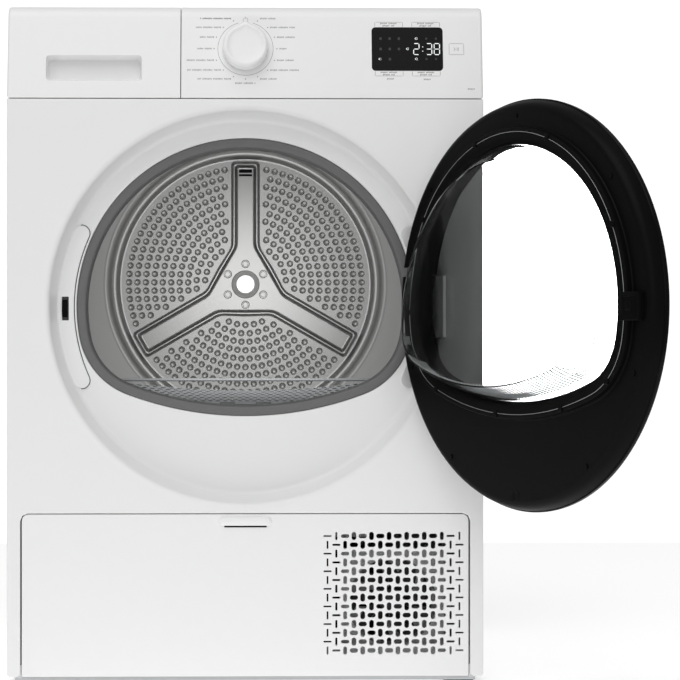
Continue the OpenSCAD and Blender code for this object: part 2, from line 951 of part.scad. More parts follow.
gland_x = -220;
gland_z = 760;
gland_r = 9;
module cable_gland() {
    color("black")
        difference() {
            union() {
                rod(gland_x, gland_z, gland_r - 0.1, rear_wall - 10, rear_wall + sheet_t);
                rod(gland_x, gland_z, gland_r + 4, rear_wall + sheet_t, rear_wall + sheet_t + 10);
                rod(gland_x, gland_z, gland_r + 4, rear_wall - 4, rear_wall);
            }
            rod(gland_x, gland_z, 4, rear_wall - 11, rear_wall + 20);
        }
}

// ---------- Door ----------
// Slots in the door's rim that let it turn past the bracket's lugs.
module lug_room() {
    for (s = [-1, 1])
        for (place = [[-9, hinge_deep - eye_r - 0.6], [-2, -30]])
            block(hinge_x + place[0], hinge_x + 40, place[1], 60,
                door_z + s * lug_z - lug_t / 2 - 1.2, door_z + s * lug_z + lug_t / 2 + 1.2);
}
// Pocket between the lugs for the hinge arm: its leaf, and its two eyes around the pins.
arm_floor = -1.6;
module arm_room() {
    high = lug_z - lug_t / 2 + 2;
    block(hinge_x - 44, hinge_x - 11, arm_floor - 0.2, ring_back + 1, door_z - high, door_z + high);
    for (s = [-1, 1])
        translate([0, 0, s * (high - (eye_t + 3) / 2)]) {
            block(hinge_x - 12, hinge_x, arm_floor - 0.2, ring_back + 1,
                door_z - eye_t / 2 - 1.5, door_z + eye_t / 2 + 1.5);
            block(hinge_x - 12, hinge_x + eye_r, hinge_deep, ring_back + 1,
                door_z - eye_t / 2 - 1.5, door_z + eye_t / 2 + 1.5);
            translate([hinge_x, front_y + hinge_deep, door_z - eye_t / 2 - 1.5])
                cylinder(r = eye_r, h = eye_t + 3);
        }
}

pane_r = door_r - 33;
pane_face = -7.6;
module door_outer_ring() {
    color("black")
        swung()
            difference() {
                turned(0, door_z, [[door_r, 7], [door_r - 1.5, 5], [door_r - 5, 3], [door_r - 11, -0.2],
                    [door_r - 21, -4.2], [door_r - 31, -7.4], [pane_r, -7.6], [pane_r, -3],
                    [pane_r - 6, -3], [pane_r - 6, ring_back], [door_r - 1, ring_back],
                    [door_r, ring_back - 1]]);
                lug_room();
                arm_room();
            }
}

module door_glass() {
    rise = 6;
    dome_r = (pane_r * pane_r + rise * rise) / (2 * rise);
    color("black", 0.6)
        swung()
            intersection() {
                turned(0, door_z, concat(
                    [[0, -3], [0, pane_face - rise]],
                    [for (i = [1:8]) let (r = (pane_r - 0.1) * i / 8)
                        [r, pane_face - rise + dome_r - sqrt(dome_r * dome_r - r * r)]],
                    [[pane_r - 0.1, -3]]
                ));
                turned(0, door_z, concat(
                    [[0, pane_face - rise + glass_t], [0, -60], [door_r, -60], [door_r, -3], [pane_r - 12, -3]],
                    [for (i = [8:-1:1]) let (r = (pane_r - 12) * i / 8)
                        [r, pane_face - rise + glass_t + dome_r - sqrt(dome_r * dome_r - r * r)]]
                ));
            }
}

module door_inner_cover() {
    color("black")
        swung()
            difference() {
                union() {
                    turned(0, door_z, [[0, ring_back], [door_r - 5, ring_back], [door_r - 9, cover_back - 3],
                        [door_r - 13, cover_back], [0, cover_back]]);
                    slab(cover_back - 1, plug_back)
                        translate([0, door_z])
                            polygon(dee(-4));
                }
                slab(ring_back - 1, plug_back + 1)
                    translate([0, door_z])
                        polygon(dee(-25));
                slab(ring_back - 1, cover_back - 3)
                    translate([0, door_z])
                        difference() {
                            circle(door_r - 12);
                            polygon(dee(-21));
                            translate([hinge_x - 60, -60])
                                square([100, 120]);
                        }
                lug_room();
            }
}

// Bowl as one thin wall between two nested lofts.
module bowl_solid(inset, from, top_deep, low_deep) {
    tilt = atan((low_deep - top_deep) / (2 * opening_drop));
    hull() {
        slab(from, from + 1)
            translate([0, door_z])
                polygon(dee(-25 - inset));
        translate([0, front_y + low_deep, door_z - opening_drop + 40])
            rotate([tilt, 0, 0])
                translate([0, -1, opening_drop - 40])
                    rotate([90, 0, 0])
                        linear_extrude(1)
                            polygon(dee(-44 - inset));
    }
}
module door_bowl() {
    color("azure", 0.4)
        swung()
            difference() {
                bowl_solid(0, cover_back - 10, bowl_deep_top, bowl_deep_low);
                bowl_solid(glass_t, cover_back - 11.5, bowl_deep_top - glass_t, bowl_deep_low - glass_t);
            }
}

module door_hinge_arm() {
    mid = lug_z - lug_t / 2 - free_gap - eye_t;
    floor_y = front_y + arm_floor;
    color("silver")
        swung()
            difference() {
                union() {
                    for (s = [-1, 1])
                        translate([0, 0, door_z + s * (mid + eye_t / 2) - eye_t / 2])
                            linear_extrude(eye_t) {
                                translate([hinge_x, front_y + hinge_deep])
                                    circle(eye_r - 0.4);
                                translate([hinge_x - 30, floor_y])
                                    square([30, hinge_deep - arm_floor]);
                            }
                    block(hinge_x - 43.5, hinge_x - 13, arm_floor, arm_floor + 4,
                        door_z - mid - eye_t, door_z + mid + eye_t);
                }
                hinge_bores(pin_r + running_fit);
            }
}

module door_latch_hook() {
    tip = dish_d + 22;
    color("dimgray")
        swung()
            difference() {
                union() {
                    block(latch_x + 1, latch_x + 1 + hook_t, cover_back, tip, latch_z - 10, latch_z + 10);
                    block(latch_x - 1, latch_x + 10, cover_back, cover_back + 3, latch_z - 12, latch_z + 12);
                }
                block(latch_x, latch_x + 6, dish_d + 8, dish_d + 17, latch_z - 5, latch_z + 5);
            }
}

module door_screws() {
    color("dimgray")
        swung()
            for (a = [200, 235, 305, 340, 40, 90, 140])
                rod((door_r - 20) * cos(a), door_z + (door_r - 20) * sin(a), 3.2,
                    cover_back, cover_back + 1.2);
}

// ---------- Drum ----------
module drum_shell() {
    color("silver")
        turned(0, drum_z, [[lip_r, drum_front], [drum_r, drum_front], [drum_r, drum_back],
            [drum_r - drum_t, drum_back], [drum_r - drum_t, drum_front + drum_t],
            [lip_r + drum_t, drum_front + drum_t], [lip_r + drum_t, drum_front + 8],
            [lip_r, drum_front + 8]]);
}

wall_deep = drum_back - 12;
bead_out_r = perforated_r + 17;
module drum_rear_wall() {
    rim_r = drum_r - drum_t;
    disc = wall_deep + 6;
    color("silver")
        turned(0, drum_z, [[shaft_r + 0.2, disc], [perforated_r, disc], [perforated_r + 4, wall_deep - 4],
            [bead_out_r - 5, wall_deep - 4], [bead_out_r, wall_deep], [rim_r - 1, wall_deep],
            [rim_r - 1, wall_deep - 12], [rim_r, wall_deep - 12], [rim_r, wall_deep + 1],
            [bead_out_r - 0.5, wall_deep + 1], [bead_out_r - 5.5, wall_deep - 3],
            [perforated_r + 4.7, wall_deep - 3], [perforated_r + 0.7, disc + 1], [shaft_r + 0.2, disc + 1]]);
}

spider_front = wall_deep - 8;
module spider_arm(half, root_half, from_r, to_r) {
    polygon([[-root_half, from_r], [-half, from_r + 26], [-half, to_r - 5], [-half + 5, to_r],
        [half - 5, to_r], [half, to_r - 5], [half, from_r + 26], [root_half, from_r]]);
}
module spider_arms(from, to, half, root_half, from_r, to_r) {
    for (a = [0, 120, 240])
        slab(from, to)
            translate([0, drum_z])
                rotate(a)
                    spider_arm(half, root_half, from_r, to_r);
}
module drum_spider() {
    disc = wall_deep + 6;
    reach = perforated_r - 6;
    color("silver")
        difference() {
            union() {
                rod(0, drum_z, 41, spider_front, disc);
                spider_arms(spider_front, disc, 20, 27, 28, reach);
            }
            spider_arms(spider_front - 1, spider_front + 8, 10, 12, 44, reach - 12);
            rod(0, drum_z, shaft_r, spider_front - 1, disc + 1);
        }
}

module drum_shaft() {
    disc = wall_deep + 6;
    color("gray") {
        rod(0, drum_z, shaft_r, spider_front - 3, rear_wall + 12);
        difference() {
            rod(0, drum_z, 46, disc + 1, disc + 5);
            rod(0, drum_z, shaft_r, disc, disc + 6);
        }
    }
}

module roller(s) {
    color("dimgray")
        turned(s * roller_x, roller_z, [[axle_r + running_fit, roller_front], [roller_r - 1, roller_front],
            [roller_r, roller_front + 1], [roller_r, roller_front + roller_w - 1],
            [roller_r - 1, roller_front + roller_w], [axle_r + running_fit, roller_front + roller_w]]);
}
module left_roller() roller(-1);
module right_roller() roller(1);

// ---------- Plinth flap ----------
grille_cols = 16;
grille_rows = 14;
grille_x = half_w - 30;
grille_z = panel_low + 32.5;
module grille_slots() {
    for (i = [0:grille_cols - 1])
        for (j = [0:grille_rows - 1])
            translate([grille_x - i * grille_pitch, grille_z + j * grille_pitch])
                rotate((i + j) % 2 == 0 ? 0 : 90)
                    slot(i == 0 || i == grille_cols - 1 ? slot_w / 2 : slot_w);
}
module slot(w) {
    square([slot_len - w, w], center = true);
    for (s = [-1, 1])
        translate([s * (slot_len - w) / 2, 0])
            circle(w / 2, $fn = 24);
}
module flap_panel() {
    top = panel_low + flap_h;
    low = panel_low + 0.5;
    wall = 2.4;
    rim = 12;
    color("white") {
        difference() {
            union() {
                slab(0, rim)
                    flap_outline(0);
                translate([0, front_y, top - 8.5])
                    rotate([0, 90, 0])
                        translate([0, 0, -26])
                            cylinder(r = 5.5, h = 52, $fn = 32);
            }
            slab(wall, rim + 1)
                flap_outline(-wall);
            slab(-1, rim)
                grille_slots();
            slab(-1, rim)
                translate([0, top - 15])
                    square([44, 3], center = true);
        }
        for (s = [-1, 1])
            flap_pin(s, 0);
    }
}
module flap_outline(grow) {
    top = panel_low + flap_h;
    low = panel_low + 0.5;
    translate([0, (top + low) / 2])
        soft_rect(2 * (flap_half + grow), top - low + 2 * grow, 9.5 + grow);
    translate([-flap_half - grow, low - grow])
        square([2 * (flap_half + grow), 30]);
}

module foot(sx, deep) {
    color("black")
        translate([sx * foot_x(), front_y + deep, 0]) {
            cylinder(r = foot_r, h = 5);
            translate([0, 0, 5])
                cylinder(r = foot_r - 8, h = 3.4);
            translate([0, 0, 8.4])
                cylinder(r = foot_stem_r, h = 21);
        }
}
module front_left_foot() foot(-1, foot_depths()[0]);
module front_right_foot() foot(1, foot_depths()[0]);
module rear_left_foot() foot(-1, foot_depths()[1]);
module rear_right_foot() foot(1, foot_depths()[1]);

// ---------- Assembly ----------
base_tray();
left_side_panel();
right_side_panel();
rear_panel();
rear_duct_cover();
top_panel();
front_panel();
control_fascia();
display_window();
control_board();
latch_plate();
latch_catch();
hinge_bracket();
hinge_pins();
bracket_screws();
front_bulkhead();
door_seal();
drum_felt();
roller_axles();
rear_bearing();
drum_belt();
motor();
idler_arm();
fan_housing();
exchanger_cover();
evaporator();
condenser();
compressor();
condensate_pump();
filter_housing();
tank_guide();
drain_spigot();
cable_gland();
cooling_fan_shroud();
door_outer_ring();
door_glass();
door_inner_cover();
door_bowl();
door_hinge_arm();
door_latch_hook();
door_screws();
drum_shell();
drum_rear_wall();
drum_spider();
drum_shaft();
left_roller();
right_roller();
motor_pulley();
process_fan();
idler_pulley();
cooling_fan();
tank_front();
tank_body();
filter_frame();
program_knob();
flap_panel();
front_left_foot();
front_right_foot();
rear_left_foot();
rear_right_foot();
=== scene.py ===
"""Looks of a front-loading tumble dryer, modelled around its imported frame.

Sizes are millimetres and "deep" is the distance behind the front panel's face, as a cabinet maker
measures them; at() turns a place into the frame's metres. Door pieces are modelled with the door
shut and then swung to where it stands open.
"""
import enum
import json
import logging
import math
from collections.abc import Iterable, Sequence
from dataclasses import dataclass

import bmesh
import bpy
from mathutils import Matrix, Vector


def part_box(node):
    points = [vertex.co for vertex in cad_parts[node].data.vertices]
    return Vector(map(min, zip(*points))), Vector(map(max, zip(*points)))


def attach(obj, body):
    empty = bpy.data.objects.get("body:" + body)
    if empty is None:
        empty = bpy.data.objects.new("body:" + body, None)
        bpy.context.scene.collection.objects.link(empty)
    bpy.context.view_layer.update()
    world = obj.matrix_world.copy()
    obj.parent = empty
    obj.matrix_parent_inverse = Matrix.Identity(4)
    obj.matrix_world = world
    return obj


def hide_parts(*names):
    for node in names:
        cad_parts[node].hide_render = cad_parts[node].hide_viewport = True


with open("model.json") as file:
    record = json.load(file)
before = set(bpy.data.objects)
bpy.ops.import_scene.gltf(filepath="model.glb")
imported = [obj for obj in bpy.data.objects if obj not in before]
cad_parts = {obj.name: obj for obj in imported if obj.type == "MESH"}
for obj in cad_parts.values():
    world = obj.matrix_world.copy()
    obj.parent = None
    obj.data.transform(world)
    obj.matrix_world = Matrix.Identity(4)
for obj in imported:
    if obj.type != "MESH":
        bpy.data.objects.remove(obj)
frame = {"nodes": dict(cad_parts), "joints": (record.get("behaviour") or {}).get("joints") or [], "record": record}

logging.basicConfig(level=logging.INFO, format="%(message)s")
log = logging.getLogger("dryer")

MM = 0.001
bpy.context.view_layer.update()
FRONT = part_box("front_panel")[0].y
HINGE = next(j for j in frame["joints"] if j["name"] == "door_hinge")
DOOR_Z = HINGE["pos_m"][2] / MM
DOOR_OPEN = math.radians(-HINGE["range_deg"][0])
DRUM_Z = (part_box("drum_shell")[0].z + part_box("drum_shell")[1].z) / 2 / MM
HALF_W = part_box("front_panel")[1].x / MM
PANEL_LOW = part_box("front_panel")[0].z / MM
PANEL_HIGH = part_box("front_panel")[1].z / MM
FASCIA_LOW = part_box("control_fascia")[0].z / MM
DRUM_BACK = (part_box("drum_shell")[1].y - FRONT) / MM

Point = tuple[float, float]
Loop = list[Vector]


def at(x: float, deep: float, z: float) -> Vector:
    """Turns a place in millimetres into the frame's metres.

    Args:
        x: Distance to the right of the middle.
        deep: Distance behind the front panel's face.
        z: Height above the floor.

    Returns:
        The point in the frame.
    """
    return Vector((x * MM, FRONT + deep * MM, z * MM))


# ---------------------------------------------------------------- finishes


def linear(hex_colour: str) -> tuple[float, float, float, float]:
    """Turns an sRGB hex colour into linear light.

    Args:
        hex_colour: Six hex digits.

    Returns:
        Linear red, green and blue, and an alpha of one.
    """
    parts = [int(hex_colour[i:i + 2], 16) / 255 for i in (0, 2, 4)]
    light = [p / 12.92 if p <= 0.04045 else ((p + 0.055) / 1.055) ** 2.4 for p in parts]
    return (*light, 1.0)


def add_node(tree: bpy.types.NodeTree, kind: str, settings: dict, links: dict) -> bpy.types.Node:
    """Adds one shader node.

    Args:
        tree: The material's node tree.
        kind: The node's type.
        settings: Values for the node's own properties or, by name, for its input sockets.
        links: Output sockets to join to the named inputs.

    Returns:
        The new node.
    """
    node = tree.nodes.new(kind)
    for key, value in settings.items():
        if isinstance(key, int) or key in node.inputs:
            node.inputs[key].default_value = value
        else:
            setattr(node, key, value)
    for key, socket in links.items():
        tree.links.new(socket, node.inputs[key])
    return node


class Pattern(enum.Enum):
    """How a surface was made, which sets its fine pattern."""

    BAKED_ENAMEL = "baked enamel"
    MOULDED = "moulded"
    SPANGLED = "spangled zinc"
    ROLLED = "rolled sheet"
    TURNED = "turned metal"
    RUBBED = "rubber skin"
    FIBROUS = "pressed fibre"
    POLISHED = "polished"
    PRINTED = "printed"


@dataclass(frozen=True)
class Finish:
    """One finish: what the surface is, how it was made and what that gives the eye."""

    name: str
    colour: str
    pattern: Pattern
    rough: float
    grain_mm: float
    relief_mm: float
    metallic: float = 0.0
    vary: float = 0.03
    ior: float = 1.5
    specular: float = 0.5
    coat: float = 0.0
    clear: float = 0.0
    glow: float = 0.0
    sheen: float = 0.0

    def material(self) -> bpy.types.Material:
        """Returns the finish's material, made at its first use.

        Returns:
            The material.
        """
        made = bpy.data.materials.get(self.name)
        if made:
            return made
        made = bpy.data.materials.new(self.name)
        made.use_nodes = True
        made.diffuse_color = linear(self.colour)
        self._wire(made.node_tree)
        return made

    def _wire(self, tree: bpy.types.NodeTree) -> None:
        """Wires the shader: colour variation, roughness and relief from one real grain size.

        Args:
            tree: The material's node tree.
        """
        shader = tree.nodes["Principled BSDF"]
        constants = {"Metallic": self.metallic, "Coat Weight": self.coat, "Coat Roughness": 0.08,
                     "Transmission Weight": self.clear, "Sheen Weight": self.sheen,
                     "Specular IOR Level": self.specular, "Emission Strength": self.glow}
        if self.metallic == 0:
            constants["IOR"] = self.ior
        for key, value in constants.items():
            shader.inputs[key].default_value = value
        shader.inputs["Emission Color"].default_value = linear(self.colour)
        place = add_node(tree, "ShaderNodeTexCoord", {}, {}).outputs["Object"]
        field_out, fine = self._grain(tree, place)
        tone = add_node(tree, "ShaderNodeMapRange", {"To Min": 1 - self.vary, "To Max": 1 + self.vary / 2},
                        {"Value": field_out}).outputs[0]
        base = add_node(tree, "ShaderNodeVectorMath",
                        {"operation": "SCALE", "Vector": linear(self.colour)[:3]},
                        {"Scale": tone}).outputs[0]
        tree.links.new(base, shader.inputs["Base Color"])
        wear = add_node(tree, "ShaderNodeMapRange",
                        {"To Min": max(0.0, self.rough * 0.88), "To Max": min(1.0, self.rough * 1.12)},
                        {"Value": fine}).outputs[0]
        tree.links.new(wear, shader.inputs["Roughness"])
        if self.relief_mm:
            bump = add_node(tree, "ShaderNodeBump", {"Strength": 1.0, "Distance": self.relief_mm * MM},
                            {"Height": fine}).outputs[0]
            tree.links.new(bump, shader.inputs["Normal"])

    def _grain(self, tree: bpy.types.NodeTree, place: bpy.types.NodeSocket) -> tuple:
        """Draws the pattern in the finish's own scale.

        Args:
            tree: The material's node tree.
            place: The object coordinates.

        Returns:
            A broad field for the colour and a fine one for roughness and relief.
        """
        per_metre = 1 / (self.grain_mm * MM)
        broad = add_node(tree, "ShaderNodeTexNoise", {"Scale": per_metre / 12, "Detail": 2.0},
                         {"Vector": place})
        if self.pattern is Pattern.SPANGLED:
            cells = add_node(tree, "ShaderNodeTexVoronoi", {"Scale": per_metre, "feature": "F1"},
                             {"Vector": place})
            tone = add_node(tree, "ShaderNodeSeparateColor", {}, {"Color": cells.outputs["Color"]})
            return tone.outputs[0], tone.outputs[1]
        if self.pattern in (Pattern.ROLLED, Pattern.TURNED):
            stretch = (1, 1, 14) if self.pattern is Pattern.ROLLED else (1, 8, 1)
            along = add_node(tree, "ShaderNodeMapping", {"Scale": stretch}, {"Vector": place}).outputs[0]
            lines = add_node(tree, "ShaderNodeTexNoise", {"Scale": per_metre, "Detail": 3.0},
                             {"Vector": along})
            return lines.outputs[0], lines.outputs[0]
        if self.pattern in (Pattern.MOULDED, Pattern.RUBBED):
            pits = add_node(tree, "ShaderNodeTexVoronoi", {"Scale": per_metre, "feature": "SMOOTH_F1"},
                            {"Vector": place})
            return broad.outputs[0], pits.outputs["Distance"]
        fine = add_node(tree, "ShaderNodeTexNoise", {"Scale": per_metre, "Detail": 3.0}, {"Vector": place})
        return broad.outputs[0], fine.outputs[0]


# Powder-white vitreous enamel, sprayed and baked: an even white with a faint orange-peel ripple.
ENAMEL = Finish("white_baked_enamel", "f0f0f0", Pattern.BAKED_ENAMEL, 0.34, 5.0, 0.012, vary=0.01)
# Moulded ABS of the fascia and drawer: whiter, with a finer satin grain than the enamel.
ABS = Finish("white_moulded_abs", "f2f2f2", Pattern.MOULDED, 0.38, 1.2, 0.006, vary=0.01)
# Polished ABS of the knob, which shows soft highlights.
KNOB_ABS = Finish("white_polished_abs", "f1f1f1", Pattern.POLISHED, 0.22, 2.0, 0.0, vary=0.01)
# Talc-filled polypropylene, as moulded: dull mid grey.
POLYPROPYLENE = Finish("grey_polypropylene", "9d9fa1", Pattern.MOULDED, 0.5, 1.0, 0.02, vary=0.04)
# The same plastic on the lint filter: a shade darker and less dull from handling.
FILTER_GREY = Finish("filter_grey_polypropylene", "8f9192", Pattern.MOULDED, 0.42, 1.0, 0.02, vary=0.04)
# Hot-dip galvanised sheet: grey with a broken spangle of pale crystals.
GALVANISED = Finish("galvanised_sheet", "b7b9bb", Pattern.SPANGLED, 0.42, 9.0, 0.0, 0.9, 0.12)
# Zinc-plated pressed steel: bright grey with faint rolling lines.
ZINC = Finish("zinc_plated_steel", "c6c6c6", Pattern.ROLLED, 0.3, 0.9, 0.004, 1.0, 0.06)
# Satin stainless steel of the drum, rolled: soft, slightly streaked reflections.
STAINLESS = Finish("satin_stainless_steel", "b9b9b8", Pattern.ROLLED, 0.5, 0.9, 0.01, 1.0, 0.10)
# The same sheet where it is drawn and brightened on the spider.
BRIGHT_STAINLESS = Finish("bright_stainless_steel", "a8a8a7", Pattern.ROLLED, 0.42, 0.9, 0.006, 1.0, 0.06)
# Bottoms of the pressed dimples, a darker steel than the drum's: painted shade.
DIMPLE_SHADE = Finish("dimple_floor_shade_steel", "a3a3a2", Pattern.TURNED, 0.45, 0.8, 0.01, 1.0, 0.15)
# EPDM seal: soft, matt mid grey with a skin of fine pores.
SEAL = Finish("grey_epdm_rubber", "6a6a6a", Pattern.RUBBED, 0.6, 1.1, 0.03, vary=0.05)
# Pressed wool felt: pale fibres, no gloss.
FELT = Finish("pressed_wool_felt", "bfbcb2", Pattern.FIBROUS, 0.95, 0.8, 0.2, vary=0.2, sheen=0.3)
# Chloroprene belt and tyres.
BLACK_RUBBER = Finish("black_rubber", "1b1b1b", Pattern.RUBBED, 0.7, 1.0, 0.03, vary=0.1)
# Piano-black ABS of the door, drawn with little gloss so it keeps its depth.
PIANO_BLACK = Finish("piano_black_abs", "0b0b0b", Pattern.POLISHED, 0.16, 6.0, 0.0, vary=0.1, specular=0.06)
# Satin black ABS behind it, with a fine spark-eroded grain.
SATIN_BLACK = Finish("satin_black_abs", "0c0c0c", Pattern.MOULDED, 0.4, 0.9, 0.01, vary=0.1, specular=0.05)
# Smoked toughened glass of the door's outer pane.
SMOKED = Finish("smoked_glass", "1f1f20", Pattern.POLISHED, 0.0, 40.0, 0.0, vary=0.0, clear=1.0, ior=1.08,
                specular=0.3)
# Clear moulded bowl.
CLEAR = Finish("clear_bowl_glass", "f4f6f6", Pattern.POLISHED, 0.0, 40.0, 0.0, vary=0.0, clear=1.0, ior=1.15,
               specular=0.5)
# Ribbed deflector moulded into the bowl: frosted where the tool was eroded.
FROSTED = Finish("frosted_ribs", "bfc1c1", Pattern.POLISHED, 0.4, 1.5, 0.0, vary=0.05, clear=0.15, ior=1.4)
# Solder mask over a circuit board: dark green with a thin gloss.
BOARD = Finish("green_solder_mask", "12402a", Pattern.PRINTED, 0.35, 3.0, 0.02, vary=0.25)
# Die-cast aluminium housings: matt grey with a coarse skin.
CAST = Finish("die_cast_housing", "8d8e90", Pattern.FIBROUS, 0.5, 1.5, 0.05, 0.8, 0.08)
# Natural nylon of the wheels: warm off-white, slightly waxy.
NYLON = Finish("natural_nylon", "dedbd0", Pattern.MOULDED, 0.45, 1.0, 0.01, vary=0.04)
# Rolled aluminium fins: pale, with fine lines.
FINS = Finish("aluminium_fins", "c8cacc", Pattern.ROLLED, 0.35, 0.8, 0.01, 1.0, 0.08)
# Blow-moulded polypropylene: milky with a cold tint.
TANK = Finish("milky_polypropylene", "cfd8dc", Pattern.MOULDED, 0.4, 1.0, 0.01, vary=0.03)
# Pad-printed ink on the fascia.
INK = Finish("grey_pad_print", "8b8b8b", Pattern.PRINTED, 0.6, 0.8, 0.0, vary=0.06)
# The darker ink of the marks by the knob.
DARK_INK = Finish("dark_pad_print", "3c3c3c", Pattern.PRINTED, 0.6, 0.8, 0.0, vary=0.06)
# Black window over the display, drawn with little gloss.
DISPLAY = Finish("display_window", "161616", Pattern.POLISHED, 0.28, 20.0, 0.0, vary=0.05, specular=0.08)
# Segments that glow.
LIT = Finish("lit_segments", "e8ecec", Pattern.PRINTED, 0.5, 1.0, 0.0, vary=0.0, glow=0.55)
# Segments that are off: just lighter than the window.
UNLIT = Finish("unlit_segments", "2b2b2b", Pattern.PRINTED, 0.5, 1.0, 0.0, vary=0.0)
# Stands for the shade in a narrow gap.
GAP_SHADE = Finish("shaded_gap", "4a4a4a", Pattern.MOULDED, 0.8, 1.0, 0.0, vary=0.05, specular=0.1)
# Painted shade: a near-black that stands for the shade inside a slot.
SHADE = Finish("painted_recess_shade", "151515", Pattern.MOULDED, 0.8, 1.0, 0.0, vary=0.1, specular=0.1)
# Glass-filled nylon of the fan: dark grey and satin.
FAN_BLACK = Finish("glass_filled_nylon", "3a3a3a", Pattern.MOULDED, 0.5, 1.0, 0.02, vary=0.08)

SLOT_FINISH: dict[str, Finish] = {
    "white_enamel": ENAMEL, "white_abs": ABS, "grey_polypropylene": POLYPROPYLENE,
    "galvanised_steel": GALVANISED, "zinc_plated_steel": ZINC, "stainless_steel": STAINLESS,
    "grey_seal_rubber": SEAL, "wool_felt": FELT, "black_rubber": BLACK_RUBBER,
    "black_gloss_plastic": PIANO_BLACK, "black_satin_plastic": SATIN_BLACK, "smoked_glass": SMOKED,
    "clear_bowl": CLEAR, "green_board": BOARD, "cast_motor": CAST, "natural_nylon": NYLON,
    "aluminium_fins": FINS, "tank_plastic": TANK,
}


# ---------------------------------------------------------------- outlines


def arc(centre: Point, radius: float, start: float, end: float, steps: int) -> list[Point]:
    """Points along an arc, angles in degrees, without its last point.

    Args:
        centre: The arc's centre.
        radius: Its radius.
        start: First angle.
        end: Last angle.
        steps: Number of chords.

    Returns:
        The points, the first included and the last left out.
    """
    angles = [math.radians(start + (end - start) * i / steps) for i in range(steps)]
    return [(centre[0] + radius * math.cos(a), centre[1] + radius * math.sin(a)) for a in angles]


def circle(radius: float, count: int) -> list[Point]:
    """A full circle about the origin."""
    return arc((0, 0), radius, 0, 360, count)


def soft_rect(width: float, height: float, radius: float, steps: int = 6) -> list[Point]:
    """A rectangle with round corners about the origin.

    Args:
        width: Size across.
        height: Size up.
        radius: Radius of the corners.
        steps: Steps in each quarter turn.

    Returns:
        The closed outline.
    """
    x, z = width / 2 - radius, height / 2 - radius
    corners = [((x, z), 0), ((-x, z), 90), ((-x, -z), 180), ((x, -z), 270)]
    loop: list[Point] = []
    for centre, start in corners:
        loop += arc(centre, radius, start, start + 90, steps) + arc(centre, radius, start + 90, start + 91, 1)
    return loop


def rounded(corners: Sequence[tuple[float, float, float]], steps: int = 6) -> list[Point]:
    """Rounds a polygon's corners.

    Args:
        corners: x, z and radius of each corner, in order.
        steps: Chords in each rounded corner.

    Returns:
        The outline, with the same number of points at each corner.
    """
    loop: list[Point] = []
    for i, (x, z, radius) in enumerate(corners):
        here = Vector((x, z))
        back = Vector(corners[i - 1][:2]) - here
        ahead = Vector(corners[(i + 1) % len(corners)][:2]) - here
        half = back.angle(ahead) / 2
        cut = min(radius / math.tan(half), 0.49 * back.length, 0.49 * ahead.length)
        start, end = here + back.normalized() * cut, here + ahead.normalized() * cut
        for k in range(steps + 1):
            t = k / steps
            loop.append(tuple((1 - t) ** 2 * start + 2 * t * (1 - t) * here + t * t * end))
    return loop


def grown(loop: Sequence[Point], by: float) -> list[Point]:
    """Offsets a counter-clockwise outline outwards.

    Args:
        loop: The outline.
        by: Distance, negative to shrink it.

    Returns:
        The new outline, point for point.
    """
    result = []
    for i, here in enumerate(loop):
        before, after = Vector(loop[i - 1]), Vector(loop[(i + 1) % len(loop)])
        one, two = (Vector(here) - before), (after - Vector(here))
        sides = [Vector((v.y, -v.x)).normalized() for v in (one, two) if v.length > 1e-6]
        out = sum(sides, Vector((0, 0))).normalized()
        reach = by / max(0.4, out.dot(sides[0]))
        result.append((here[0] + out.x * reach, here[1] + out.y * reach))
    return result


@dataclass(frozen=True)
class Opening:
    """The door opening's outline: a round top, two tighter lower corners and a long flat curve."""

    top_r: float = 213.0
    drop: float = 137.5
    sill_r: float = 424.0
    corner_r: float = 95.0

    def outline(self, by: float) -> list[Point]:
        """The outline about the door's middle, grown outwards.

        Args:
            by: Distance outwards from the sheet metal's edge.

        Returns:
            The same number of points for any distance.
        """
        sill_z = self.sill_r - self.drop
        small, large = self.top_r - self.corner_r, self.sill_r - self.corner_r
        z = (small ** 2 - large ** 2 + sill_z ** 2) / (2 * sill_z)
        x = math.sqrt(small ** 2 - z ** 2)
        top = math.degrees(math.atan2(z, x))
        low = math.degrees(math.atan2(z - sill_z, x))
        return (arc((0, 0), self.top_r + by, top, 180 - top, 72)
                + arc((-x, z), self.corner_r + by, 180 - top, 180 - low, 14)
                + arc((0, sill_z), self.sill_r + by, 180 - low, 360 + low, 32)
                + arc((x, z), self.corner_r + by, 360 + low, 360 + top, 14))

    def round_like(self, radius: float) -> list[Point]:
        """A circle whose points lie in the same directions as the outline's."""
        return [(radius * math.cos(a), radius * math.sin(a))
                for a in (math.atan2(z, x) for x, z in self.outline(0))]


OPENING = Opening()


# ---------------------------------------------------------------- bench work


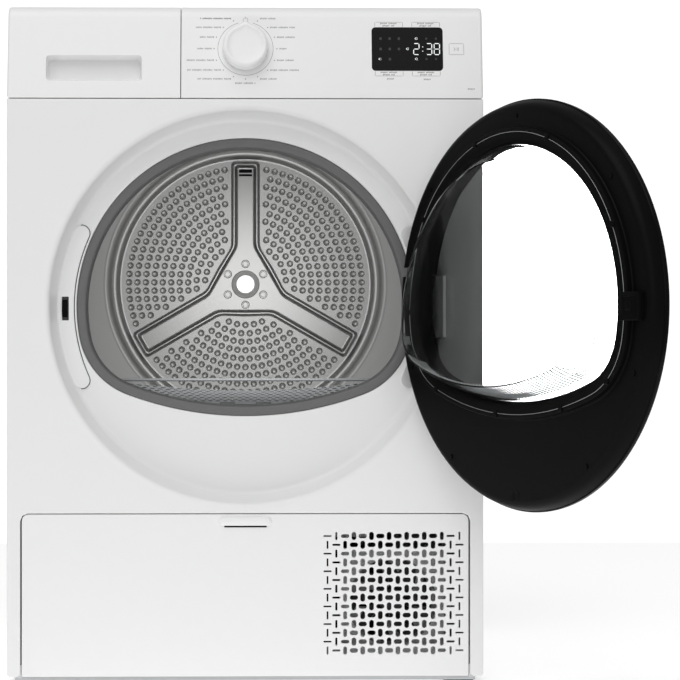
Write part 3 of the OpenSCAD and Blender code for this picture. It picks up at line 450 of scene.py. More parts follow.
class Bench:
    """Mesh work that several pieces share, done with Blender's own operators."""

    @staticmethod
    def clear() -> None:
        """Leaves edit mode and deselects everything."""
        if bpy.context.object and bpy.context.object.mode != "OBJECT":
            bpy.ops.object.mode_set(mode="OBJECT")
        bpy.ops.object.select_all(action="DESELECT")

    @staticmethod
    def pick(piece: bpy.types.Object) -> None:
        """Makes one piece the only selected and active one."""
        Bench.clear()
        piece.select_set(True)
        bpy.context.view_layer.objects.active = piece

    @staticmethod
    def skin(name: str, loops: Sequence[Loop], first: bool = False, last: bool = False,
             ring: bool = False) -> bpy.types.Object:
        """Extrudes one loop of edges through a row of sections.

        Args:
            name: The piece's name.
            loops: The sections, each with the same number of points.
            first: Whether a flat face closes the first section.
            last: Whether a flat face closes the last section.
            ring: Whether the last section joins the first again.

        Returns:
            The piece, its faces pointing outwards where it is closed.
        """
        Bench.clear()
        bpy.ops.mesh.primitive_circle_add(vertices=len(loops[0]), radius=1)
        piece = bpy.context.object
        piece.name = piece.data.name = name
        bpy.ops.object.mode_set(mode="EDIT")
        bpy.ops.mesh.select_mode(type="VERT")
        row = list(range(len(loops[0])))
        start = list(row)
        mesh = bmesh.from_edit_mesh(piece.data)
        mesh.verts.ensure_lookup_table()
        for i, point in zip(row, loops[0]):
            mesh.verts[i].co = point
        for loop in [*loops[1:], *([loops[0]] if ring else [])]:
            bpy.ops.mesh.extrude_region_move()
            mesh = bmesh.from_edit_mesh(piece.data)
            mesh.verts.ensure_lookup_table()
            row = [next(e.other_vert(mesh.verts[i]).index for e in mesh.verts[i].link_edges
                        if e.other_vert(mesh.verts[i]).select) for i in row]
            for i, point in zip(row, loop):
                mesh.verts[i].co = point
        if last:
            bpy.ops.mesh.edge_face_add()
        if first:
            bpy.ops.mesh.select_all(action="DESELECT")
            mesh = bmesh.from_edit_mesh(piece.data)
            mesh.verts.ensure_lookup_table()
            for i in start:
                mesh.verts[i].select = True
            mesh.select_flush(True)
            bpy.ops.mesh.edge_face_add()
        bpy.ops.mesh.select_all(action="SELECT")
        bpy.ops.mesh.remove_doubles(threshold=1e-7)
        bpy.ops.mesh.normals_make_consistent(inside=False)
        bpy.ops.object.mode_set(mode="OBJECT")
        return piece

    @staticmethod
    def block(name: str, low: Vector, high: Vector, edge_mm: float) -> bpy.types.Object:
        """A box between two corners with its edges rounded.

        Args:
            name: The piece's name.
            low: Its lowest corner.
            high: Its highest corner.
            edge_mm: Radius of its edges, or 0 for sharp ones.

        Returns:
            The box.
        """
        Bench.clear()
        bpy.ops.mesh.primitive_cube_add(size=1, location=(low + high) / 2)
        piece = bpy.context.object
        piece.name = piece.data.name = name
        piece.scale = high - low
        bpy.ops.object.transform_apply(location=True, rotation=True, scale=True)
        if edge_mm:
            Bench.round_edges(piece, edge_mm)
        return piece

    @staticmethod
    def round_edges(piece: bpy.types.Object, edge_mm: float, segments: int = 3, angle: float = 40) -> None:
        """Rounds every sharp edge by an applied bevel.

        Args:
            piece: The piece to round.
            edge_mm: Radius of the edges.
            segments: Steps across each edge.
            angle: Edges sharper than this many degrees are rounded.
        """
        Bench.pick(piece)
        bevel = piece.modifiers.new("edges", "BEVEL")
        bevel.width = edge_mm * MM
        bevel.segments = segments
        bevel.limit_method = "ANGLE"
        bevel.angle_limit = math.radians(angle)
        bpy.ops.object.modifier_apply(modifier=bevel.name)

    @staticmethod
    def thicken(piece: bpy.types.Object, wall_mm: float, towards: Vector) -> None:
        """Gives a sheet its thickness.

        Args:
            piece: An open sheet.
            wall_mm: Its thickness.
            towards: Direction that most of the sheet's outer side faces.
        """
        Bench.pick(piece)
        facing = sum((p.normal * p.area for p in piece.data.polygons), Vector((0, 0, 0)))
        if facing.dot(towards) < 0:
            piece.data.flip_normals()
        wall = piece.modifiers.new("wall", "SOLIDIFY")
        wall.thickness = wall_mm * MM
        wall.offset = -1
        bpy.ops.object.modifier_apply(modifier=wall.name)

    @staticmethod
    def cut(piece: bpy.types.Object, cutter: bpy.types.Object) -> None:
        """Cuts one piece out of another and removes the cutter.

        Args:
            piece: The piece to cut.
            cutter: The shape taken out of it.
        """
        Bench.pick(piece)
        tool = piece.modifiers.new("cut", "BOOLEAN")
        tool.operation = "DIFFERENCE"
        tool.solver = "EXACT"
        tool.object = cutter
        bpy.ops.object.modifier_apply(modifier=tool.name)
        bpy.data.objects.remove(cutter)

    @staticmethod
    def copies(name: str, pattern: bpy.types.Object, places: Iterable[Matrix]) -> bpy.types.Object:
        """Copies a pattern to each place and joins the copies.

        Args:
            name: The joined piece's name.
            pattern: The piece to copy, removed afterwards.
            places: Where each copy goes.

        Returns:
            One piece of all the copies.
        """
        made = []
        for place in places:
            one = pattern.copy()
            one.data = pattern.data.copy()
            one.data.transform(place)
            bpy.context.scene.collection.objects.link(one)
            made.append(one)
        bpy.data.objects.remove(pattern)
        return Bench.join(name, made)

    @staticmethod
    def join(name: str, pieces: Sequence[bpy.types.Object]) -> bpy.types.Object:
        """Joins several pieces into one.

        Args:
            name: The joined piece's name.
            pieces: The pieces to join.

        Returns:
            The joined piece.
        """
        Bench.clear()
        for piece in pieces:
            piece.select_set(True)
        bpy.context.view_layer.objects.active = pieces[0]
        if len(pieces) > 1:
            bpy.ops.object.join()
        pieces[0].name = pieces[0].data.name = name
        return pieces[0]

    @staticmethod
    def mounted(piece: bpy.types.Object, body: str, slot: str, *finishes: Finish,
                instead_of: Sequence[str] = (), angle: float = 35) -> bpy.types.Object:
        """Dresses a piece and mounts it on its body.

        Args:
            piece: The finished mesh.
            body: The moving or fixed body that carries it.
            slot: The record's material slot; not used.
            finishes: Its finishes; faces name them by material index.
            instead_of: CAD nodes that the piece stands for.
            angle: Edges sharper than this stay sharp.

        Returns:
            The piece.
        """
        Bench.pick(piece)
        bpy.ops.object.shade_smooth_by_angle(angle=math.radians(angle))
        flat = piece.modifiers.new("flat_faces", "WEIGHTED_NORMAL")
        flat.keep_sharp = True
        bpy.ops.object.modifier_apply(modifier=flat.name)
        if not piece.data.materials:
            for finish in finishes:
                piece.data.materials.append(finish.material())
        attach(piece, body)
        for node in instead_of:
            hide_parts(node)
        log.info("%s: %d faces, on %s", piece.name, len(piece.data.polygons), body)
        return piece


def upright(points: Iterable[Point], deep: float, x: float = 0, z: float = 0) -> Loop:
    """An outline stood up at a depth, about a middle.

    Args:
        points: The outline in x and z.
        deep: Its distance behind the front panel.
        x: The middle's distance from the cabinet's middle.
        z: The middle's height.

    Returns:
        The outline's points in the frame.
    """
    return [at(x + p[0], deep, z + p[1]) for p in points]


def turned(name: str, profile: Sequence[Point], x: float, z: float, count: int = 96,
           first: bool = False, last: bool = False, ring: bool = False) -> bpy.types.Object:
    """A piece turned about a front-to-back axis.

    Args:
        name: The piece's name.
        profile: Radius and depth of each step.
        x: The axis' distance from the cabinet's middle.
        z: The axis' height.
        count: Facets around it.
        first: Whether its first step is closed by a disc.
        last: Whether its last step is closed by a disc.
        ring: Whether the profile closes on itself.

    Returns:
        The turned piece.
    """
    loops = [upright(circle(r, count), deep, x, z) for r, deep in profile]
    return Bench.skin(name, loops, first, last, ring)


def swing(piece: bpy.types.Object) -> bpy.types.Object:
    """Swings a piece of the shut door to where the door stands open."""
    pin = Vector(HINGE["pos_m"])
    piece.data.transform(Matrix.Translation(pin) @ Matrix.Rotation(DOOR_OPEN, 4, "Z")
                         @ Matrix.Translation(-pin))
    return piece


# ---------------------------------------------------------------- cabinet


@dataclass
class FrontPanel:
    """The pressed front: a flat sheet with folded edges and a round recess for the shut door."""

    recess_r: float = 244.2
    edge_r: float = 7.0
    floor_r: float = 238.2
    floor_deep: float = 38.0
    sheet: float = 1.2
    fold: float = 1.4
    side_return: float = 22.0
    top_return: float = 8.0
    flap_top: float = 213.9
    flap_half: float = 280.8
    flap_corner: float = 9.5

    def boundary(self, with_legs: bool) -> list[Point]:
        """Outer edge about the door's middle.

        Args:
            with_legs: Whether the strips beside the flap run down to the floor.

        Returns:
            One point for each point of the door opening's outline.
        """
        top, low = PANEL_HIGH - DOOR_Z, self.flap_top - DOOR_Z
        foot = PANEL_LOW - DOOR_Z
        points: list[Point] = []
        for x, z in OPENING.round_like(1.0):
            scale = min(HALF_W / max(abs(x), 1e-9), (top if z > 0 else -low) / max(abs(z), 1e-9))
            points.append((x * scale, z * scale))
        knee = low - self.flap_corner
        leg = [(HALF_W, knee), (HALF_W, foot + 3), (HALF_W - 3, foot), (self.flap_half + 5, foot),
               (self.flap_half, foot + 3), (self.flap_half, knee), (self.flap_half - 2.8, low - 2.8),
               (self.flap_half - self.flap_corner, low)]
        if not with_legs:
            across = (HALF_W - self.flap_half) / 5
            leg[:6] = [(HALF_W - across * i, knee) for i in range(6)]
        self._snap(points, [(HALF_W, top)])
        self._snap(points, [(-HALF_W, top)])
        self._snap(points, [(-x, z) for x, z in leg], -9)
        self._snap(points, leg[::-1], 9)
        return points

    @staticmethod
    def _snap(points: list[Point], run: Sequence[Point], ahead: int = 0) -> None:
        """Moves points of an edge onto a run of exact ones and spreads their neighbours.

        Args:
            points: The edge, changed in place.
            run: The exact points.
            ahead: How many points further along the edge the run is taken from.
        """
        middle = math.atan2(run[0][1] + run[-1][1], run[0][0] + run[-1][0])
        gaps = [abs(math.remainder(math.atan2(z, x) - middle, math.tau)) for x, z in points]
        first, count, spread = gaps.index(min(gaps)) - len(run) // 2 + ahead, len(points), 8
        for i, point in enumerate(run):
            points[(first + i) % count] = point
        for end, step in ((first, -1), (first + len(run) - 1, 1)):
            near, far = Vector(points[end % count]), Vector(points[(end + step * spread) % count])
            for k in range(1, spread):
                points[(end + step * k) % count] = tuple(near.lerp(far, k / spread))

    def build(self) -> bpy.types.Object:
        """Returns the front panel.

        Returns:
            The panel.
        """
        deep, r = self.floor_deep, self.recess_r
        loops = [upright(OPENING.outline(by), d, z=DOOR_Z)
                 for by, d in ((0.2, deep + 6), (0.2, deep + 0.8), (0.8, deep + 0.15), (2.0, deep))]
        steps = [(self.floor_r - 7, deep), (self.floor_r - 4, deep - 0.6), (self.floor_r - 1.4, deep - 2.4),
                 (self.floor_r, deep - 5.5), (r - 1.0, self.edge_r + 4)]
        steps += [(r + self.edge_r * (1 - math.cos(a)), self.edge_r * (1 - math.sin(a)))
                  for a in (math.radians(15 * k) for k in range(7))]
        loops += [upright(OPENING.round_like(radius), d, z=DOOR_Z) for radius, d in steps]
        loops.append(upright(OPENING.round_like(r + self.edge_r + 0.8), 0, z=DOOR_Z))
        for inset in (self.fold + 1.2, self.fold):
            loops.append(upright(grown(self.boundary(False), -inset), 0, z=DOOR_Z))
        edge = self.boundary(True)
        for inset, d in ((self.fold, 0.0), (self.fold * 0.3, self.fold * 0.3), (0.0, self.fold)):
            loops.append(upright(grown(edge, -inset), d, z=DOOR_Z))
        loops.append([at(x, self.side_return if abs(x) > HALF_W - 0.1 else self.top_return, DOOR_Z + z)
                      for x, z in edge])
        panel = Bench.skin("front_sheet", loops)
        Bench.thicken(panel, self.sheet, Vector((0, -1, 0)))
        return Bench.mounted(panel, "cabinet", "white_enamel", ENAMEL, instead_of=["front_panel"])


@dataclass
class DoorFittings:
    """What the cabinet carries for the door: the seal, the latch plate and its slot."""

    plate_in_r: float = 216.5
    plate_out_r: float = 236.5
    reach: float = 24.2
    plate_deep: float = 35.4
    slot_w: float = 10.4
    slot_h: float = 30.0

    def kidney(self, by: float, side: int) -> list[Point]:
        """Outline of a bent plate with round ends.

        Args:
            by: Distance outwards.
            side: 1 for the right, -1 for the left.

        Returns:
            The outline about the door's middle.
        """
        middle = (self.plate_in_r + self.plate_out_r) / 2
        half = (self.plate_out_r - self.plate_in_r) / 2 + by
        a = math.radians(self.reach)
        high = (middle * math.cos(a), middle * math.sin(a))
        points = (arc((0, 0), middle + half, -self.reach, self.reach, 26)
                  + arc(high, half, self.reach, self.reach + 180, 10)
                  + arc((0, 0), middle - half, self.reach, -self.reach, 26)
                  + arc((high[0], -high[1]), half, 180 - self.reach, 360 - self.reach, 10))
        return [(side * x, z) for x, z in points]

    def plate(self, name: str, side: int) -> bpy.types.Object:
        """Builds one bent plate with a soft rim, standing on the recess' floor.

        Args:
            name: The piece's name.
            side: -1 for the left of the opening, 1 for its right.

        Returns:
            The plate.
        """
        top = self.plate_deep
        steps = ((0, 38.1), (0, top + 0.9), (-0.3, top + 0.35), (-0.9, top))
        loops = [upright(self.kidney(by, side), deep, z=DOOR_Z) for by, deep in steps]
        return Bench.skin(name, loops, first=True, last=True)

    def build(self) -> None:
        """Builds the seal and the latch plate with its slot."""
        lip = [(-0.4, 46), (-0.3, 38.9), (-0.7, 37.7), (-1.8, 37.1), (-4, 36.8), (-6.5, 36.8), (-9, 37.1),
               (-10.8, 37.8), (-11.8, 39.2), (-12.3, 42), (-12.4, 58), (-13, 66), (-7, 66), (-6, 50)]
        seal = Bench.skin("seal_ring", [upright(OPENING.outline(by), d, z=DOOR_Z) for by, d in lip],
                          ring=True)
        Bench.mounted(seal, "cabinet", "grey_seal_rubber", SEAL, instead_of=["door_seal"])
        # A dark grey strip round the latch plate's edge: painted shade that stands for a gap.
        rim = Bench.skin("latch_plate_gap_shade", [upright(self.kidney(by, -1), deep, z=DOOR_Z)
                                             for by, deep in ((1.1, 38.2), (1.1, 37.85))], last=True)
        Bench.mounted(rim, "cabinet", "white_abs", GAP_SHADE)
        slot_z = DOOR_Z - 2
        slot_x = -(self.plate_in_r + self.plate_out_r) / 2 - 1.5
        plate = self.plate("latch_escutcheon", -1)
        hole = Bench.block("hole", at(slot_x - self.slot_w / 2, 20, slot_z - self.slot_h / 2),
                           at(slot_x + self.slot_w / 2, 50, slot_z + self.slot_h / 2), 1.2)
        Bench.cut(plate, hole)
        Bench.mounted(plate, "cabinet", "white_abs", ABS, instead_of=["latch_plate"])
        tongue = Bench.block("latch_lever", at(slot_x - 3.4, 36.6, slot_z - 11),
                             at(slot_x + 3.6, 43, slot_z + 11), 0.8)
        # A near-black block behind the latch slot: painted shade inside the slot.
        latch_shade = Bench.block("latch_slot_shade", at(slot_x - 8, 39.4, slot_z - 18), at(slot_x + 8, 46, slot_z + 18),
                            0.5)
        Bench.mounted(tongue, "cabinet", "black_satin_plastic", SATIN_BLACK)
        Bench.mounted(latch_shade, "cabinet", "black_satin_plastic", SHADE)


@dataclass
class Worktop:
    """The worktop with its rolled edges."""

    edge: float = 2.6

    def build(self) -> None:
        """Builds the worktop."""
        top = Bench.block("worktop", *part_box("top_panel"), self.edge)
        Bench.mounted(top, "cabinet", "white_enamel", ENAMEL, instead_of=["top_panel"])


# ---------------------------------------------------------------- control panel


@dataclass
class ControlPanel:
    """The leaning fascia, the tank's drawer front, the display, the knob and the print."""

    lean: float = math.radians(11)
    height: float = 117.5
    crown_r: float = 18.0
    wall: float = 2.6
    end_r: float = 3.0
    seam: float = 0.9
    seam_x: float = -80.9
    middle_up: float = 63.0
    display_x: float = 203.0
    display_w: float = 89.5
    display_h: float = 57.0
    grip_x: float = -189.5
    grip_up: float = 38.0
    grip_w: float = 120.0
    grip_h: float = 34.0
    grip_deep: float = 20.0
    ink_lift: float = 0.06

    def place(self, x: float, up: float) -> Matrix:
        """Frame on the fascia's face: x across, y up along it, z out of it.

        Args:
            x: Distance to the right of the middle.
            up: Height above the fascia's lower edge.

        Returns:
            The frame, in metres.
        """
        return (Matrix.Translation(at(x, up * math.tan(self.lean), FASCIA_LOW + up))
                @ Matrix.Rotation(math.pi / 2 - self.lean, 4, "X"))

    def on_face(self, points: Iterable[Point], x: float, up: float, out: float) -> Loop:
        """An outline laid on the fascia's face, raised by "out"."""
        frame_here = self.place(x, up)
        return [frame_here @ (Vector((px, py, out)) * MM) for px, py in points]

    def section(self, x: float, inset: float) -> Loop:
        """The fascia's side outline at one place across, shrunk by "inset".

        Args:
            x: Place across the fascia.
            inset: Distance inwards from its outer face.

        Returns:
            The closed outline.
        """
        crown = (self.crown_r + (self.height - self.crown_r) * math.sin(self.lean)) / math.cos(self.lean)
        back = crown + self.wall + 1 - inset
        foot = 1.2
        lean_deg = math.degrees(self.lean)
        points = [(inset / math.cos(self.lean) + foot + inset * 0.2, inset)]
        points += [(inset / math.cos(self.lean) + up * math.tan(self.lean), up)
                   for up in (inset + foot * 0.3, inset + foot, 20.0, 60.0)]
        points += arc((crown, self.height - self.crown_r), self.crown_r - inset, 180 - lean_deg, 90, 12)
        points += [(crown, self.height - inset), (back, self.height - inset), (back, inset)]
        return [at(x, deep, FASCIA_LOW + up) for deep, up in points]

    def shell(self, name: str, left: float, right: float, left_r: float, right_r: float) -> bpy.types.Object:
        """A length of fascia with softened ends.

        Args:
            name: The piece's name.
            left: Left end.
            right: Right end.
            left_r: Radius along the left end's edges.
            right_r: Radius along the right end's edges.

        Returns:
            The closed shell.
        """
        turns = [math.radians(a) for a in (90, 60, 30, 0)]
        loops = [self.section(left + left_r * (1 - math.sin(t)), left_r * (1 - math.cos(t))) for t in turns]
        loops += [self.section(right - right_r * (1 - math.sin(t)), right_r * (1 - math.cos(t)))
                  for t in reversed(turns)]
        return Bench.skin(name, loops, first=True, last=True)

    def build(self) -> None:
        """Builds the fascia, drawer front, display, knob and print."""
        gap = self.seam / 2
        fascia = self.shell("fascia", self.seam_x + gap, HALF_W, 0.8, self.end_r)
        Bench.mounted(fascia, "cabinet", "white_abs", ABS, instead_of=["control_fascia"])
        drawer = self.shell("drawer_front", -HALF_W, self.seam_x - gap, self.end_r, 0.8)
        grip = [(3.0, 0.0, 0.0), (0.0, 0.0, 0.0), (-1.2, 0.6, 0.3), (-self.grip_deep, 3.0, 3.5)]
        loops = [self.on_face([(x, y + rise) for x, y in
                               soft_rect(self.grip_w - 2 * inset, self.grip_h - 2 * inset - rise, 5.0)],
                              self.grip_x, self.grip_up, out) for out, inset, rise in grip]
        Bench.cut(drawer, Bench.skin("pocket", loops, first=True, last=True))
        Bench.mounted(drawer, "tank", "white_abs", ABS, instead_of=["tank_front"])
        self.build_display()
        self.build_knob()
        self.build_print()

    def build_display(self) -> None:
        """Builds the dark window and its lit segments."""
        steps = ((0.0, -1.0), (0.0, 0.05), (-0.25, 0.2), (-0.8, 0.28))
        loops = [self.on_face(soft_rect(self.display_w + 2 * by, self.display_h + 2 * by, 5 + by),
                              self.display_x, self.middle_up, out) for by, out in steps]
        window = Bench.skin("display_glass", loops, first=True, last=True)
        Bench.mounted(window, "cabinet", "black_gloss_plastic", DISPLAY, instead_of=["display_window"])
        lit: list[tuple[float, float, float, float, float]] = []
        segments = {"a": (0, 1, 1, 0), "b": (1, .5, 0, 1), "c": (1, -.5, 0, 1), "d": (0, -1, 1, 0),
                    "e": (-1, -.5, 0, 1), "f": (-1, .5, 0, 1), "g": (0, 0, 1, 0)}
        half_w, half_h, thick = 3.4, 7.2, 1.0
        for x, shape in ((11.4, "abged"), (27.4, "abgcd"), (37.2, "abcdefg")):
            for px, py, across, upward in (segments[s] for s in shape):
                wide = half_w * 2 - 1.5 if across else thick
                tall = half_h - 1.3 if upward else thick
                lit.append((x + px * half_w, py * half_h, wide, tall, 0))
        lit += [(19.4, s * 2.8, 1.1, 1.1, 0) for s in (-1, 1)]
        for x, y in ((11.6, 13.6), (0.6, 0.2), (11.6, -13.0), (-34.0, -13.2)):
            lit += [(x - 0.9, y + 0.8, 2.6, 0.45, 40), (x - 0.9, y - 0.8, 2.6, 0.45, -40),
                    (x + 0.8, y, 0.45, 3.0, 0), (x - 1.6, y, 0.45, 2.0, 0)]
        self.tiles("display_segments", lit, self.display_x, self.middle_up, 0.3, LIT)
        dim = [(x, y, 3.0, 3.4, 0) for x in (-33.5, -22, -10.5) for y in (13.5, 0, -13.2)][:8]
        dim += [(x, y, 2.4, 2.6, 0) for x in (24, 36) for y in (13.6, -13.0)]
        self.tiles("dim_symbols", dim, self.display_x, self.middle_up, 0.3, UNLIT)

    def tiles(self, name: str, marks: Sequence[tuple[float, float, float, float, float]], x: float, up: float,
              lift: float, finish: Finish) -> None:
        """Lays thin marks on the fascia's face.

        Args:
            name: The joined piece's name.
            marks: Place across and up, width, height and turn in degrees of each mark.
            x: Where the marks' own middle is.
            up: Its height above the fascia's lower edge.
            lift: Height of the marks' tops above the face.
            finish: The marks' finish.
        """
        Bench.clear()
        bpy.ops.mesh.primitive_cube_add(size=MM)
        bpy.ops.object.mode_set(mode="EDIT")
        bpy.ops.mesh.bevel(offset=0.12 * MM, segments=1)
        bpy.ops.object.mode_set(mode="OBJECT")
        mark = bpy.context.object
        here = self.place(x, up)
        places = [here @ Matrix.Translation(Vector((px, py, lift - 0.04)) * MM)
                  @ Matrix.Rotation(math.radians(turn), 4, "Z") @ Matrix.Diagonal((w, h, 0.08, 1))
                  for px, py, w, h, turn in marks]
        Bench.mounted(Bench.copies(name, mark, places), "cabinet", "white_abs", finish)

    def build_knob(self) -> None:
        """Builds the programme knob with its pointer."""
        profile = ((27.2, 0.5), (28.2, 0.9), (28.4, 3.0), (28.2, 14.2), (27.6, 16.2), (26.4, 17.4),
                   (24.8, 17.9),
                   (23.2, 17.8), (21.8, 17.1), (20.4, 16.5), (16.0, 16.2), (6.0, 16.1))
        loops = []
        for radius, out in profile:
            points = []
            for px, py in circle(1.0, 96):
                away = math.degrees(math.atan2(px, py)) / 9.5
                bulge = 3.4 * math.exp(-away * away) * min(1.0, radius / 26)
                points.append((px * (radius + bulge), py * (radius + bulge)))
            loops.append(self.on_face(points, 0, self.middle_up, out))
        knob = Bench.skin("knob_cap", loops, first=True, last=True)
        Bench.mounted(knob, "program_knob", "white_abs", KNOB_ABS, instead_of=["program_knob"])

    def words(self, x: float, y: float, width: float,
              side: int) -> list[tuple[float, float, float, float, float]]:
        """Short bars that stand for a line of small print.

        Args:
            x: The line's near end.
            y: Its height.
            width: Its length.
            side: 1 if it runs to the right, -1 to the left.

        Returns:
            The bars.
        """
        pitch = 1.5
        count = int(width / pitch)
        return [(x + side * pitch * (i + 0.5), y + (0.25 if i % 4 == 1 else 0), 0.95,
                 1.5 + 0.5 * (i % 3 == 0), 0)
                for i in range(count) if i % 9 != 6]

    def build_print(self) -> None:
        """Builds the printed ring, dots, plain label bars and key outlines."""
        ring_r, dot_r = 34.6, 39.4
        ring = [(ring_r * math.sin(math.radians(a)), ring_r * math.cos(math.radians(a)), 3.1, 0.5, -a)
                for a in range(18, 345, 5)]
        dots = [(dot_r * math.sin(a), dot_r * math.cos(a), 1.3, 1.3, 45)
                for a in (math.radians(22.5 * k) for k in range(1, 16))]
        power = [(2.9 * math.sin(math.radians(a)), 37.6 + 2.9 * math.cos(math.radians(a)), 1.6, 0.45, -a)
                 for a in range(30, 345, 30)] + [(0, 40.4, 0.45, 3.2, 0)]
        self.tiles("knob_print", ring + dots + power, 0, self.middle_up, self.ink_lift, INK)
        right = (20, 32, 25, 10, 22, 36, 22)
        left = (40, 32, 19, 19, 35, 42, 43)
        labels: list[tuple[float, float, float, float, float]] = []
        bold: list[tuple[float, float, float, float, float]] = []
        for k, (one, other) in enumerate(zip(right, left), start=1):
            a = math.radians(22.5 * k)
            x, y = dot_r * math.sin(a) + 3, dot_r * math.cos(a) + (3 if k == 1 else -3 if k == 7 else 0)
            labels += self.words(x, y, one, 1)
            (bold if k == 1 else labels).extend(self.words(-x, y, other, -1))
        labels += self.words(-13, -dot_r - 5.5, 26, 1)
        self.tiles("programme_labels", labels, 0, self.middle_up, self.ink_lift, INK)
        self.tiles("quick_label", bold, 0, self.middle_up, self.ink_lift, DARK_INK)
        keys: list[tuple[float, float, float, float, float]] = []
        for middle in (-23.0, 23.5):
            for side in (1, -1):
                y = side * (self.display_h / 2 + 3.4)
                keys += [(middle - 17.5, y, 0.45, 6, 0), (middle + 17.5, y, 0.45, 6, 0),
                         (middle, y + side * 3.2, 34, 0.45, 0)]
                keys += self.words(middle - 11, y + 1.4, 22, 1) + self.words(middle - 8, y - 1.6, 16, 1)
        for x, y in ((-21, -39), (25, -39.5)):
            keys += self.words(x - 5, y, 11, 1)
        keys += [(61.8, s * 7.2, 18, 0.45, 0) for s in (-1, 1)] + [(52.6, 0, 0.45, 13.6, 0),
                                                                   (71.0, 0, 0.45, 13.6, 0)]
        keys += [(59.5, 0.8, 0.5, 3.4, 35), (59.5, -0.8, 0.5, 3.4, -35), (62.6, 0, 0.5, 4.6, 0),
                 (64.2, 0, 0.5, 4.6, 0)]
        keys += self.words(75, -52, 9, 1)
        self.tiles("key_print", keys, self.display_x, self.middle_up, self.ink_lift, INK)


# ---------------------------------------------------------------- plinth


@dataclass
class Flap:
    """The plinth flap: a shallow tray with a pull and a field of slots."""

    half: float = 279.0
    low: float = 10.5
    top: float = 213.0
    corner: float = 9.5
    wall: float = 2.4
    rim: float = 12.0
    pitch: float = 11.0
    columns: int = 16
    rows: int = 14
    first_x: float = 267.5
    first_z: float = 42.5
    slot_len: float = 10.2
    widths: tuple[float, ...] = (2.1, 2.6, 4.6, 5.8)

    def cell(self, width: float, standing: bool) -> bpy.types.Object:
        """One square of the face with a round-ended slot through it.

        Args:
            width: The slot's width.
            standing: Whether the slot stands upright.

        Returns:
            The cell, its middle at the origin's place on the face.
        """
        half = self.pitch / 2
        side = [(0.4, -1), (1, -1), (1, -0.66), (1, -0.4), (1, -0.13)]
        side += [(x, -z) for x, z in reversed(side)]
        square = [(x * half, z * half) for x, z in side] + [(-x * half, -z * half) for x, z in side]

        def slot(by: float) -> list[Point]:
            """The slot's outline, grown by a distance."""
            reach, r = (self.slot_len - width) / 2, width / 2 + by
            turn = [math.radians(-90 + 20 * k) for k in range(10)]
            right = [(reach + r * math.cos(a), r * math.sin(a)) for a in turn]
            return right + [(-x, -z) for x, z in right]

        rows = [(slot(0), self.wall), (slot(0), 0.35), (slot(0.25), 0.05), (square, 0.0)]
        if standing:
            rows = [([(-z, x) for x, z in points], deep) for points, deep in rows]
        return Bench.skin("cell", [upright(points, deep) for points, deep in rows])

    def build(self) -> None:
        """Builds the flap's face, slots, rim and pull."""
        cells = []
        for edge, width in enumerate(self.widths):
            for standing in (False, True):
                places = [Matrix.Translation(Vector((self.first_x - i * self.pitch, 0,
                                                     self.first_z + j * self.pitch)) * MM)
                          for i in range(self.columns) for j in range(self.rows)
                          if min(i, self.columns - 1 - i, 3) == edge and bool((i + j) % 2) == standing]
                cells.append(Bench.copies("cells", self.cell(width, standing), places))
        x1, z0 = self.first_x + self.pitch / 2, self.first_z - self.pitch / 2
        x0, z1 = x1 - self.columns * self.pitch, z0 + self.rows * self.pitch
        field = [(x1, z0, 0.01), (x1, z1, 0.01), (x0, z1, 0.01), (x0, z0, 0.01)]

        def outline(inset: float) -> list[Point]:
            """The flap's outline, shrunk by a distance."""
            far, up, down = self.half - inset, self.top - inset, self.low + inset
            r = self.corner - inset
            return rounded([(far, down, 2.0), (far, up, r), (-far, up, r), (-far, down, 2.0)])

        rows = [(rounded(field), 0.0), (outline(1.1), 0.0), (outline(0.35), 0.3), (outline(0.0), 1.1),
                (outline(0.0), self.rim), (outline(self.wall), self.rim), (outline(self.wall), self.wall),
                (rounded(field), self.wall)]
        face = Bench.skin("face", [upright(points, deep) for points, deep in rows])
        for cell in cells:
            Bench.pick(cell)
            facing = sum((p.normal.y * p.area for p in cell.data.polygons if abs(p.normal.y) > 0.9), 0.0)
            if facing > 0:
                cell.data.flip_normals()
        flap = Bench.join("flap_face", [face, *cells])
        Bench.pick(flap)
        bpy.ops.object.mode_set(mode="EDIT")
        bpy.ops.mesh.select_all(action="SELECT")
        bpy.ops.mesh.remove_doubles(threshold=1e-6)
        bpy.ops.object.mode_set(mode="OBJECT")
        Bench.mounted(flap, "flap", "white_abs", ABS, instead_of=["flap_panel"])
        steps = ((67, 12.6, -0.0), (65.4, 11.4, -0.9), (63.0, 9.8, -2.2), (59.0, 7.0, -3.1),
                 (52.0, 3.0, -3.5))
        pull = Bench.skin("flap_pull", [upright(soft_rect(w, h, h / 2 - 0.05), d, z=self.top - 8.6)
                                        for w, h, d in steps], first=True, last=True)
        Bench.mounted(pull, "flap", "white_abs", ABS)
        # A near-black bar under the pull: painted shade that stands for a slit.
        slit_shade = Bench.block("pull_slit_shade", at(-26.5, -0.9, self.top - 16.4), at(26.5, 1.0, self.top - 14.2), 0.4)
        Bench.mounted(slit_shade, "flap", "white_abs", SHADE)


